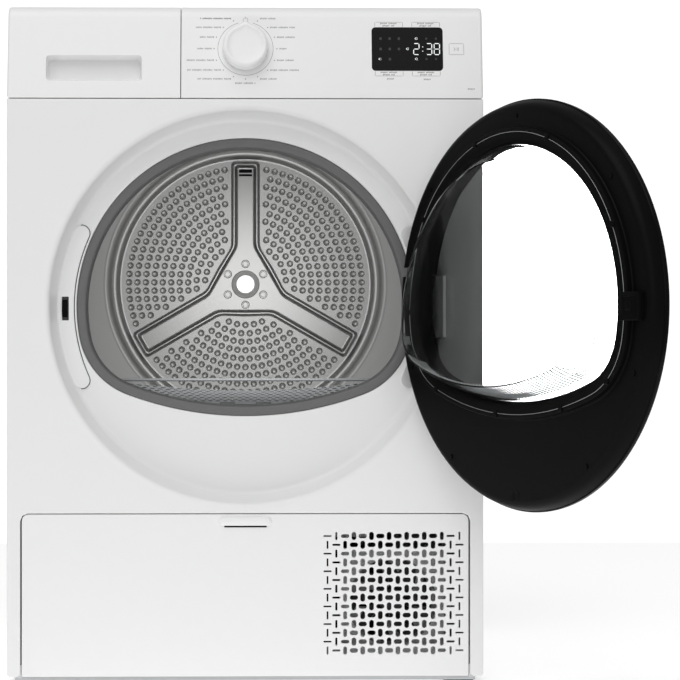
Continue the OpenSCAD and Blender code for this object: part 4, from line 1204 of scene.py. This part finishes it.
@dataclass
class CoolingFan:
    """The small fan behind the grille: a hub and swept blades."""

    x: float = 186.0
    z: float = 98.0
    deep: float = 58.0
    blades: int = 9
    hub_r: float = 16.0
    tip_r: float = 52.0

    def build(self) -> None:
        """Builds the fan's rotor."""
        hub = turned("hub", [(14.5, 47), (15.6, 48), (self.hub_r, 50), (self.hub_r, 69), (8, 70), (4, 70),
                             (4, 86)],
                     self.x, self.z, 40, first=True, last=True)
        rows = []
        for k in range(6):
            t = k / 5
            radius = self.hub_r - 1.5 + (self.tip_r - self.hub_r + 1.5) * t
            lead, chord, pitch = 26 * t * t, 15 + 6 * t, math.radians(42 - 16 * t)
            ends = []
            for side in (-0.5, 0.5):
                a = math.radians(lead) + side * chord * math.cos(pitch) / radius
                deep = self.deep + side * chord * math.sin(pitch)
                for skin in (-0.7, 0.7):
                    ends.append(at(self.x + radius * math.cos(a), deep + skin * side * 2,
                                   self.z + radius * math.sin(a)))
            rows.append([ends[0], ends[1], ends[3], ends[2]])
        blade = Bench.skin("blade", rows, first=True, last=True)
        axis = at(self.x, 0, self.z)
        places = [Matrix.Translation(axis) @ Matrix.Rotation(math.tau * k / self.blades, 4, "Y")
                  @ Matrix.Translation(-axis) for k in range(self.blades)]
        rotor = Bench.join("fan_rotor", [hub, Bench.copies("blades", blade, places)])
        Bench.mounted(rotor, "cooling_fan", "black_satin_plastic", FAN_BLACK, instead_of=["cooling_fan"])


# ---------------------------------------------------------------- drum


@dataclass
class Drum:
    """The drum: beaded shell, dimpled rear wall and the three-armed spider with its hub."""

    radius: float = 287.5
    sheet: float = 1.0
    front: float = DRUM_BACK - 400.0
    mouth_r: float = 243.0
    disc: float = DRUM_BACK - 6.0
    field_r: float = 182.0
    arms: tuple[float, ...] = (90.0, 210.0, 330.0)
    arm_half: float = 20.3
    arm_reach: float = 177.0
    bend: float = 54.0
    valley: float = 46.0
    first_row: float = 58.7
    row_pitch: float = 12.2
    hole_pitch: float = 12.0
    dimple_r: float = 4.9

    def star(self, by: float) -> list[Point]:
        """The spider's outline about the axis, grown outwards.

        Args:
            by: Distance outwards from the arms' edges.

        Returns:
            The closed outline.
        """
        corners = []
        for arm in self.arms:
            a = math.radians(arm)
            along, across = Vector((math.cos(a), math.sin(a))), Vector((-math.sin(a), math.cos(a)))
            half, reach = self.arm_half + by, self.arm_reach + by
            for u, v, r in ((self.bend, -half, 26), (reach, -half, 6 + by * 0.3), (reach, half, 6 + by * 0.3),
                            (self.bend, half, 26)):
                corners.append((*(u * along + v * across), r))
            a += math.radians(60)
            corners.append(((self.valley + by) * math.cos(a), (self.valley + by) * math.sin(a), 30))
        return rounded(corners, 8)

    def near_spider(self, x: float, z: float, room: float) -> bool:
        """Whether a place lies on the spider or within "room" of it.

        Args:
            x: Place right of the drum's axis.
            z: Place above it.
            room: Room kept round the spider.

        Returns:
            True where the spider takes the place.
        """
        for arm in self.arms:
            a = math.radians(arm)
            u, v = x * math.cos(a) + z * math.sin(a), abs(x * math.sin(a) - z * math.cos(a))
            wide = self.arm_half + room + max(0.0, self.bend + 4 - u) * 0.45
            if 0 < u < self.arm_reach + room and v < wide:
                return True
        return math.hypot(x, z) < self.valley + room

    def build(self) -> None:
        """Builds the shell, rear wall, dimples, spider and hub."""
        self.build_shell()
        self.build_wall()
        self.build_spider()
        self.build_hub()

    def build_shell(self) -> None:
        """Builds the shell with rolled beads around it."""
        r, inner = self.radius, self.radius - self.sheet
        out = [(self.mouth_r, self.front + 9), (self.mouth_r, self.front + 1.5),
               (self.mouth_r + 1.2, self.front),
               (r - 2, self.front), (r, self.front + 2)]
        back = [(inner, self.front + 3), (inner - 1.6, self.front + 1.4),
                (self.mouth_r + 2, self.front + 1.4),
                (self.mouth_r + 1.0, self.front + 9)]
        beads = [self.front + 60 + 90 * k for k in range(4)]
        for at_deep in beads:
            for step, sink in ((-5, 0), (-2.5, 1.6), (0, 2.2), (2.5, 1.6), (5, 0)):
                out.append((r - sink, at_deep + step))
                back.insert(0, (inner - sink, at_deep + step))
        out += [(r, DRUM_BACK), (inner, DRUM_BACK)]
        shell = turned("drum_barrel", out + back, 0, DRUM_Z, 144, ring=True)
        Bench.mounted(shell, "drum", "stainless_steel", STAINLESS, instead_of=["drum_shell"])

    def build_wall(self) -> None:
        """Builds the rear wall with its rolled ring and the field of dimples."""
        d, f = self.disc, self.field_r
        front = [(13, d), (f - 3, d), (f - 0.6, d - 1), (f + 1, d - 4.5), (f + 3.4, d - 8.6),
                 (f + 6.5, d - 10.4),
                 (f + 9.5, d - 10.4), (f + 12.6, d - 8.8), (f + 15, d - 6.8), (f + 18, d - 6.0),
                 (f + 20, d - 6.4),
                 (f + 22.5, d - 6.4), (f + 24, d - 6), (self.radius - 9, d - 6), (self.radius - 4, d - 8),
                 (self.radius - 1.8, d - 13), (self.radius - 1.4, d - 20)]
        wall = turned("drum_back", front, 0, DRUM_Z, 144)
        Bench.thicken(wall, 0.8, Vector((0, -1, 0)))
        Bench.mounted(wall, "drum", "stainless_steel", STAINLESS, instead_of=["drum_rear_wall"])
        r = self.dimple_r
        cup = [(r, d + 0.1), (r - 0.25, d - 0.9), (r - 0.8, d - 1.35), (r - 1.4, d - 1.0),
               (r - 2.2, d - 0.45),
               (1.2, d - 0.2)]
        pattern = turned("dimple", cup, 0, DRUM_Z, 14, last=True)
        pattern.data.materials.append(STAINLESS.material())
        pattern.data.materials.append(DIMPLE_SHADE.material())
        # Faces near each dimple's bottom take the darker steel: painted shade.
        for face in pattern.data.polygons:
            if (face.center - at(0, d, DRUM_Z)).length < (r - 1.2) * MM:
                face.material_index = 1
        if pattern.data.polygons[0].normal.dot(pattern.data.polygons[0].center - at(0, d, DRUM_Z)) < 0:
            pattern.data.flip_normals()
        places = []
        for row in range(10):
            ring_r = self.first_row + row * self.row_pitch
            count = round(math.tau * ring_r / self.hole_pitch / 3) * 3
            for k in range(count):
                a = math.tau * (k + (row % 2) / 2) / count + math.pi / 2
                x, z = ring_r * math.cos(a), ring_r * math.sin(a)
                if not self.near_spider(x, z, 5.2):
                    places.append(Matrix.Translation(Vector((x, 0, z)) * MM))
        Bench.mounted(Bench.copies("drum_dimples", pattern, places), "drum", "stainless_steel")

    def build_spider(self) -> None:
        """Builds the pressed spider: a raised rim around a sunken channel."""
        d = self.disc
        rows = [(0.6, d + 0.2), (0.2, d - 1.5), (-0.8, d - 6.5), (-2.0, d - 9.5), (-3.2, d - 10.6),
                (-4.6, d - 10.6),
                (-5.8, d - 9.6), (-7.2, d - 6.4), (-8.6, d - 5.0), (-10.2, d - 4.6)]
        spider = Bench.skin("spider_pressing", [upright(self.star(by), deep, z=DRUM_Z) for by, deep in rows],
                            first=True, last=True)
        Bench.mounted(spider, "drum", "stainless_steel", BRIGHT_STAINLESS, instead_of=["drum_spider"])
        floor = d - 4.7
        # Near-black bars on the channel floor: painted shade that stands for vents.
        slots = [Bench.block("vent", at(-9.5, floor - 0.5, DRUM_Z + z), at(9.5, floor + 0.2, DRUM_Z + z + h),
                             0.2)
                 for z, h in ((156.5, 3.0), (161.5, 5.0))]
        Bench.mounted(Bench.join("spider_vent_shade", slots), "drum", "stainless_steel", SHADE)

    def build_hub(self) -> None:
        """Builds the hub ring, its bolt and the six screws around it."""
        floor = self.disc - 4.6
        ring = turned("hub_ring", [(20.4, floor + 0.2), (19.9, floor - 1.0), (18.8, floor - 1.6),
                                   (17.2, floor - 1.2),
                                   (15.0, floor - 0.2), (12.4, floor + 0.1)], 0, DRUM_Z, 64, first=False)
        Bench.thicken(ring, 0.5, Vector((0, -1, 0)))
        Bench.mounted(ring, "drum", "stainless_steel", STAINLESS)
        bolt = turned("hub_bolt", [(10.6, floor + 0.2), (10.2, floor - 4.0), (9.6, floor - 5.4),
                                   (8.6, floor - 6.0),
                                   (7.4, floor - 6.0), (6.6, floor - 5.0), (6.4, floor - 3.6)], 0, DRUM_Z,
                                   6 * 8,
                      first=True, last=True)
        screw = turned("screw", [(6.0, floor + 0.1), (5.8, floor - 0.9), (5.0, floor - 1.5),
                                 (3.9, floor - 1.4),
                                 (3.4, floor - 0.6)], 0, DRUM_Z + 29.6, 28, first=True, last=True)
        axis = at(0, 0, DRUM_Z)
        turns = [Matrix.Translation(axis) @ Matrix.Rotation(math.tau * k / 6, 4, "Y")
                 @ Matrix.Translation(-axis)
                 for k in range(6)]
        hub = Bench.join("hub_fixings", [bolt, Bench.copies("screws", screw, turns)])
        Bench.mounted(hub, "drum", "stainless_steel", BRIGHT_STAINLESS)


@dataclass
class LintGrid:
    """The lint filter's slanted grid, with painted shade for finger slots at its front edge."""

    deep: float = 70.6
    z: float = 346.4
    half: float = 154.0
    back_half: float = 177.0
    rise: float = 32.0
    reach: float = 56.0
    thick: float = 2.2
    sag: float = 15.0
    basket_half: float = 150.0
    basket_t: float = 16.0
    pitch_x: float = 9.2
    pitch_y: float = 6.6
    lead: float = 7.5

    def place(self, x: float, y: float, out: float) -> Vector:
        """A point of the grid: across, up the slope and out of it, fanned towards the back.

        Args:
            x: Place across the front edge.
            y: Distance up the slope.
            out: Height above the grid.

        Returns:
            The point in the frame.
        """
        slope = math.atan2(self.rise, self.reach)
        length = math.hypot(self.rise, self.reach)
        wide = x * (1 + (self.back_half / self.half - 1) * y / length)
        sink = self.sag * max(0.0, 1 - (wide / self.back_half) ** 2) * (y / length) ** 1.3
        return at(wide, self.deep + y * math.cos(slope) - out * math.sin(slope),
                  self.z + y * math.sin(slope) + out * math.cos(slope) - sink)

    def bar(self, name: str, x0: float, x1: float, y0: float, y1: float, low: float,
            high: float) -> bpy.types.Object:
        """A rounded bar of the grid between two corners, following the fan.

        Args:
            name: The piece's name.
            x0: Left end.
            x1: Right end.
            y0: Front edge, up the slope.
            y1: Back edge, up the slope.
            low: Underside, above the grid.
            high: Top, above the grid.

        Returns:
            The bar.
        """
        piece = Bench.block(name, Vector((x0, y0, low)), Vector((x1, y1, high)), 0.0)
        Bench.pick(piece)
        bpy.ops.object.mode_set(mode="EDIT")
        bpy.ops.mesh.select_all(action="SELECT")
        bpy.ops.mesh.bevel(offset=0.6, segments=2)
        bpy.ops.object.mode_set(mode="OBJECT")
        for v in piece.data.vertices:
            v.co = self.place(*v.co)
        return piece

    def build(self) -> None:
        """Builds the grid, its rim, near-black bars of painted shade for the finger slots and dresses the filter's
        body.
        """
        length = math.hypot(self.rise, self.reach)
        hole = [(math.cos(a), math.sin(a)) for a in (math.radians(45 * k) for k in range(8))]
        box = [(1, 0), (1, 1), (0, 1), (-1, 1), (-1, 0), (-1, -1), (0, -1), (1, -1)]
        px, py = self.pitch_x / 2, self.pitch_y / 2
        rows = [([(x * px * 0.68, y * py * 0.62) for x, y in hole], self.thick * 0.2),
                ([(x * px * 0.68, y * py * 0.62) for x, y in hole], self.thick - 0.2),
                ([(x * px * 0.76, y * py * 0.70) for x, y in hole], self.thick),
                ([(x * px, y * py) for x, y in box], self.thick)]
        cell = Bench.skin("mesh", [[Vector((x, y, out)) for x, y in points] for points, out in rows])
        if cell.data.polygons[-1].normal.z < 0:
            cell.data.flip_normals()
        count_y = int((length - self.lead - 2) / self.pitch_y)
        count_x = int((self.half * 2 - 8) / self.pitch_x)
        places = [Matrix.Translation(((i - (count_x - 1) / 2 + (0.25 if j % 2 else -0.25)) * self.pitch_x,
                                      self.lead + (j + 0.5) * self.pitch_y, 0))
                  for i in range(count_x) for j in range(count_y)]
        mesh = Bench.copies("mesh", cell, places)
        for v in mesh.data.vertices:
            v.co = self.place(*v.co)
        end = self.lead + count_y * self.pitch_y
        bars = [self.bar("lead", -self.half, self.half, 0, self.lead, 0, self.thick + 0.1),
                self.bar("tail", -self.half, self.half, end - 0.2, length, 0, self.thick + 0.1)]
        side = (count_x + 0.2) * self.pitch_x / 2
        for s in (-1, 1):
            x0, x1 = sorted((s * (side - 4), s * self.half))
            bars.append(self.bar("side", x0, x1, 0, length, -0.2, self.thick + 0.3))
        grid = Bench.join("lint_grid", [mesh, *bars])
        Bench.mounted(grid, "lint_filter", "grey_polypropylene", FILTER_GREY, instead_of=["filter_frame"])
        self.build_basket()
        # Near-black bars laid on the grid: painted shade that stands for finger slots.
        slots = [self.bar("finger", *sorted((s * 12.5, s * 33.0)), 1.4, 6.2, self.thick - 0.9,
                          self.thick + 0.35)
                 for s in (-1, 1)]
        Bench.mounted(Bench.join("finger_slot_shade", slots), "lint_filter", "grey_polypropylene", SHADE)

    def build_basket(self) -> None:
        """Builds the basket under the grid: a thin open frame with two windows."""
        low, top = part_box("filter_frame")[0].z / MM, self.z + 1.4
        near, far = self.deep + 0.5, self.deep + 0.5 + self.basket_t
        basket = Bench.block("lint_basket", at(-self.basket_half, near, low), at(self.basket_half, far, top),
                             1.5)
        Bench.cut(basket, Bench.block("hollow", at(8 - self.basket_half, near + 2, low + 8),
                                      at(self.basket_half - 8, far - 2, top + 9), 1.0))
        for side in (-1, 1):
            x0, x1 = sorted((side * 6.0, side * (self.basket_half - 14)))
            Bench.cut(basket, Bench.block("window", at(x0, near - 9, low + 14), at(x1, far + 9, top - 14),
                                          3.0))
        Bench.mounted(basket, "lint_filter", "grey_polypropylene", POLYPROPYLENE)


# ---------------------------------------------------------------- door


@dataclass
class Door:
    """The round door: black ring, smoked pane, inner cover with its plug and the clear bowl."""

    radius: float = 242.4
    pane_r: float = 209.4
    pane_face: float = -7.6
    pane_rise: float = 6.0
    glass: float = 3.0
    ring_back: float = 12.0
    plug_back: float = 37.4
    window: float = -25.0
    bowl_end: float = -44.0
    bowl_top: float = 56.0
    bowl_low: float = 84.0
    lug_z: float = 43.0
    ribs: int = 74

    def mount(self, piece: bpy.types.Object, slot: str, *finishes: Finish,
              instead_of: Sequence[str] = ()) -> None:
        """Swings a piece open and mounts it on the door."""
        Bench.mounted(swing(piece), "door", slot, *finishes, instead_of=instead_of)

    def slots(self, piece: bpy.types.Object, from_x: float) -> None:
        """Cuts the two slots in which the cabinet's hinge lugs lie.

        Args:
            piece: The piece to cut.
            from_x: Where the slots begin, right of the pin's axis.
        """
        pin_x = HINGE["pos_m"][0] / MM
        for s in (-1, 1):
            z = DOOR_Z + s * self.lug_z
            cutter = Bench.block("slot", at(pin_x + from_x, -30, z - 5.7), at(pin_x + 40, 60, z + 5.7), 0.6)
            Bench.cut(piece, cutter)

    def build(self) -> None:
        """Builds all the door's pieces."""
        r = self.radius
        ring = turned("door_ring", [(r, 8.5), (r - 0.4, 6.2), (r - 1.7, 4.6), (r - 5, 2.6), (r - 11, -0.4),
                                    (r - 21, -4.3), (r - 30, -7.2), (self.pane_r + 0.8, -7.6),
                                    (self.pane_r, -7.0),
                                    (self.pane_r, -3), (self.pane_r - 6, -3),
                                    (self.pane_r - 6, self.ring_back),
                                    (r - 1, self.ring_back), (r, self.ring_back - 1)], 0, DOOR_Z, 144,
                                    ring=True)
        self.slots(ring, -2)
        self.mount(ring, "black_gloss_plastic", PIANO_BLACK, instead_of=["door_outer_ring"])
        self.build_pane()
        self.build_cover()
        self.build_bowl()
        self.build_seam()

    def build_pane(self) -> None:
        """Builds the smoked pane, slightly domed."""
        edge = self.pane_r - 0.3
        dome = (edge ** 2 + self.pane_rise ** 2) / (2 * self.pane_rise)

        def face(radius: float, back: float) -> Point:
            """A point of the dome: its radius and how deep it lies."""
            return radius, self.pane_face - self.pane_rise + back + dome - math.sqrt(dome ** 2 - radius ** 2)

        radii = [edge * k / 10 for k in range(1, 10)] + [edge - 1]
        front = [face(radius, 0) for radius in radii] + [(edge, self.pane_face + 1)]
        back = [(edge, self.pane_face + self.glass - 0.5)] + [face(radius, self.glass)
                                                              for radius in reversed(radii)]
        pane = turned("smoked_pane", front + back, 0, DOOR_Z, 120, first=True, last=True)
        self.mount(pane, "smoked_glass", SMOKED, instead_of=["door_glass"])

    def build_cover(self) -> None:
        """Builds the inner cover: a rolled rim, a flat field and the raised plug around the window."""
        r, plug = self.radius, self.plug_back
        rim = [(self.pane_r - 3, self.ring_back), (r - 1.4, self.ring_back), (r - 2.2, 15), (r - 4, 21),
               (r - 6.6, 25.4),
               (r - 10, 28), (r - 14, 29)]
        loops = [upright(OPENING.round_like(radius), deep, z=DOOR_Z) for radius, deep in rim]
        steps = [(-1.4, 29.0), (-3.0, 29.4), (-4.0, 30.6), (-4.4, 35.6), (-5.2, 37.0), (-6.8, plug),
                 (-14, plug),
                 (-20, plug - 0.4), (-23, plug - 1.6), (self.window, plug - 4), (self.window, self.ring_back),
                 (self.window + 10, self.ring_back)]
        loops += [upright(OPENING.outline(by), deep, z=DOOR_Z) for by, deep in steps]
        cover = Bench.skin("door_liner", loops, ring=True)
        self.slots(cover, -9)
        self.mount(cover, "black_satin_plastic", SATIN_BLACK, instead_of=["door_inner_cover"])
        screw = turned("boss", [(4.4, 29.2), (4.2, 28.0), (3.2, 27.6), (2.6, 28.4)], 0, DOOR_Z - (r - 20), 24,
                       first=True, last=True)
        lip = turned("dish", [(6.4, 29.0), (6.0, 29.5), (4.8, 29.4), (4.4, 28.8)], 0, DOOR_Z - (r - 20), 24)
        self.mount(Bench.join("door_fixing", [screw, lip]), "black_satin_plastic", SATIN_BLACK)

    def bowl_depth(self, z: float) -> float:
        """Depth of the bowl's end at a height about the door's middle: it leans outwards downwards."""
        low_z = -(OPENING.drop - 40)
        lean = (self.bowl_low - self.bowl_top) / (OPENING.top_r - 44 - low_z)
        return self.bowl_low - (z - low_z) * lean

    def bowl_row(self, t: float, by: float) -> Loop:
        """One section of the bowl: t runs from its rim, 0, to its end, 1; "by" grows the outline."""
        rim = self.plug_back - 6
        points = OPENING.outline(self.window + by + (self.bowl_end - self.window) * t ** 1.6)
        return [at(x, rim + (self.bowl_depth(z) - rim) * t, DOOR_Z + z) for x, z in points]

    def build_bowl(self) -> None:
        """Builds the clear bowl and the ribbed deflector along its lower side."""
        rows = [upright(OPENING.outline(self.window + 4), self.plug_back - 6.4, z=DOOR_Z)]
        rows += [self.bowl_row(t, 0) for t in (0, 0.15, 0.3, 0.5, 0.7, 0.85, 0.94)]
        end = OPENING.outline(self.bowl_end)
        for share, back in ((0.985, 1.5), (0.95, 0.2), (0.9, -0.4), (0.7, -1.2), (0.45, -1.8), (0.2, -2.2),
                            (0.06, -2.3)):
            rows.append([at(x * share, self.bowl_depth(z * share) - back, DOOR_Z + z * share) for x,
                         z in end])
        bowl = Bench.skin("clear_bowl", rows, last=True)
        Bench.thicken(bowl, self.glass, Vector((0, 1, 0)))
        self.mount(bowl, "clear_bowl", CLEAR, instead_of=["door_bowl"])
        count = len(end)
        inner = [self.bowl_row(t, -self.glass - 0.3) for t in (0.22, 0.5, 0.8, 0.92)]
        proud = [self.bowl_row(t, -self.glass - 1.7) for t in (0.22, 0.5, 0.8, 0.92)]
        first, last = count * 0.555, count * 0.93
        ribs = []
        for k in range(self.ribs):
            here = first + (last - first) * k / (self.ribs - 1)
            rows = []
            for foot, crest in zip(inner, proud):
                a, b, c = (self.along(foot, here - 0.16), self.along(crest, here),
                           self.along(foot, here + 0.16))
                rows.append([a, b, c])
            ribs.append(Bench.skin("rib", rows, first=True, last=True))
        self.mount(Bench.join("bowl_ribs", ribs), "clear_bowl", FROSTED)

    @staticmethod
    def along(loop: Loop, index: float) -> Vector:
        """A point between two points of a loop."""
        i = int(math.floor(index))
        return loop[i % len(loop)].lerp(loop[(i + 1) % len(loop)], index - i)

    def build_seam(self) -> None:
        """Builds the edge of the bowl's flange, a real lip made pale and frosted as painted highlight along the
        seam, and the clips that hold it.
        """
        flange = [(-4.95, 36.9), (-4.9, 37.5), (-5.15, 37.8), (-5.4, 37.5), (-5.35, 36.9)]
        # The lip's pale frosted finish is painted highlight along the seam.
        edge = Bench.skin("bowl_flange_edge", [upright(OPENING.outline(by - 5), d, z=DOOR_Z) for by,
                                               d in flange],
                          ring=True)
        self.mount(edge, "clear_bowl", FROSTED)
        line = OPENING.outline(-9.0)
        clips = []
        for share in (0.03, 0.12, 0.22, 0.33, 0.45, 0.62, 0.70, 0.80, 0.90):
            x, z = line[int(share * len(line))]
            clips.append(Bench.block("clip", at(x - 3.5, 36.4, DOOR_Z + z - 3.5),
                                     at(x + 3.5, 38.9, DOOR_Z + z + 3.5),
                                     0.8))
        self.mount(Bench.join("flange_clips", clips), "black_satin_plastic", SATIN_BLACK)
        x, z = -(OPENING.top_r + 1.0), -2.0
        latch = Bench.block("latch_block", at(x - 12, 29, DOOR_Z + z - 16), at(x + 22, 38.6, DOOR_Z + z + 16),
                            1.6)
        self.mount(latch, "black_satin_plastic", SATIN_BLACK)


# ---------------------------------------------------------------- stage


@dataclass
class Studio:
    """Camera, soft lights, pale floor and the bright white world behind."""

    stand_off: float = 3070.0
    eye: float = 449.2
    focal_share: float = 2458.5 / 680
    aim_right: float = 94.5 / 680
    aim_down: float = 15.0 / 680
    shift: float = 0.07
    fill: float = 0.36
    seen: float = 1.1
    backlight: float = 92.0
    overhead_w: float = 30.0
    front_w: float = 9.0
    drum_w: float = 0.5

    def camera(self) -> None:
        """Sets the camera: most of the sideways framing by turning, the rest by shift."""
        lens = bpy.data.cameras.new("camera")
        lens.sensor_width = 36.0
        lens.lens = 36.0 * self.focal_share
        lens.shift_x = self.shift
        lens.shift_y = -self.aim_down
        lens.clip_end = 60
        turn = math.atan((self.aim_right - self.shift) / self.focal_share)
        camera = bpy.data.objects.new("camera", lens)
        camera.location = at(0, -self.stand_off, self.eye)
        camera.rotation_euler = (math.pi / 2, 0, -turn)
        bpy.context.scene.collection.objects.link(camera)
        bpy.context.scene.camera = camera

    def world(self) -> None:
        """Sets a white surround: even light on the object and a clean white behind it."""
        world = bpy.data.worlds.new("studio")
        world.use_nodes = True
        tree = world.node_tree
        tree.nodes.clear()
        path = add_node(tree, "ShaderNodeLightPath", {}, {}).outputs
        bounced = add_node(tree, "ShaderNodeMath", {"operation": "ADD"},
                           {0: path["Diffuse Depth"], 1: path["Glossy Depth"]}).outputs[0]
        straight = add_node(tree, "ShaderNodeMath", {"operation": "LESS_THAN", 1: 0.5},
                            {0: bounced}).outputs[0]
        through = add_node(tree, "ShaderNodeMath", {"operation": "GREATER_THAN", 1: 0.5},
                           {0: path["Transmission Depth"]}).outputs[0]

        def shine(strength: float) -> bpy.types.NodeSocket:
            """A white background of one strength."""
            return add_node(tree, "ShaderNodeBackground", {"Color": linear("ffffff"), "Strength": strength},
                            {}).outputs[0]

        behind = add_node(tree, "ShaderNodeMixShader", {},
                          {0: through, 1: shine(self.seen), 2: shine(self.backlight)})
        mixed = add_node(tree, "ShaderNodeMixShader", {},
                         {0: straight, 1: shine(self.fill), 2: behind.outputs[0]})
        add_node(tree, "ShaderNodeOutputWorld", {}, {"Surface": mixed.outputs[0]})
        bpy.context.scene.world = world
        bpy.context.scene.view_settings.view_transform = "Standard"
        bpy.context.scene.view_settings.look = "None"

    def lamp(self, name: str, place: tuple[float, float, float], aim: tuple[float, float, float],
             size: float, power: float) -> None:
        """Adds a soft square lamp.

        Args:
            name: Its name.
            place: Where it stands, in metres.
            aim: What it points at, in metres.
            size: Its side, in metres.
            power: Its power in watts.
        """
        data = bpy.data.lights.new(name, "AREA")
        data.size = size
        data.energy = power
        lamp = bpy.data.objects.new(name, data)
        lamp.location = place
        lamp.rotation_euler = (Vector(aim) - Vector(place)).to_track_quat("-Z", "Y").to_euler()
        bpy.context.scene.collection.objects.link(lamp)

    def floor(self) -> None:
        """Lays a plain white floor."""
        Bench.clear()
        bpy.ops.mesh.primitive_plane_add(size=3.4, location=(0, 0, -0.0005))
        floor = bpy.context.object
        floor.name = "studio_floor"
        white = bpy.data.materials.new("matt_white_floor")
        white.use_nodes = True
        shader = white.node_tree.nodes["Principled BSDF"]
        for key, value in {"Base Color": linear("f4f4f4"), "Roughness": 0.9,
                           "Emission Color": linear("ffffff"),
                           "Emission Strength": 0.55}.items():
            shader.inputs[key].default_value = value
        floor.data.materials.append(white)

    def build(self) -> None:
        """Sets up everything but the object."""
        self.camera()
        self.world()
        self.floor()
        self.lamp("overhead", (-0.4, -1.6, 2.6), (0, -0.2, 0.4), 2.2, self.overhead_w)
        self.lamp("front", (0.3, -3.6, 1.3), (0, -0.2, 0.5), 1.6, self.front_w)
        self.lamp("drum", at(0, 78, DOOR_Z + 40), at(0, 500, DRUM_Z), 0.22, self.drum_w)


def dress_frame() -> None:
    """Gives every CAD node that stays visible the finish of its material slot."""
    for part in frame["record"]["subparts"]:
        finish = SLOT_FINISH[part["material_slot"]].material()
        node = frame["nodes"][part["node"]]
        if not node.material_slots:
            node.data.materials.append(finish)
        for slot in node.material_slots:
            slot.material = finish


def main() -> None:
    """Builds the whole scene in order."""
    Studio().build()
    dress_frame()
    FrontPanel().build()
    DoorFittings().build()
    Worktop().build()
    ControlPanel().build()
    Flap().build()
    CoolingFan().build()
    Drum().build()
    LintGrid().build()
    Door().build()


if __name__ == "__main__":
    main()
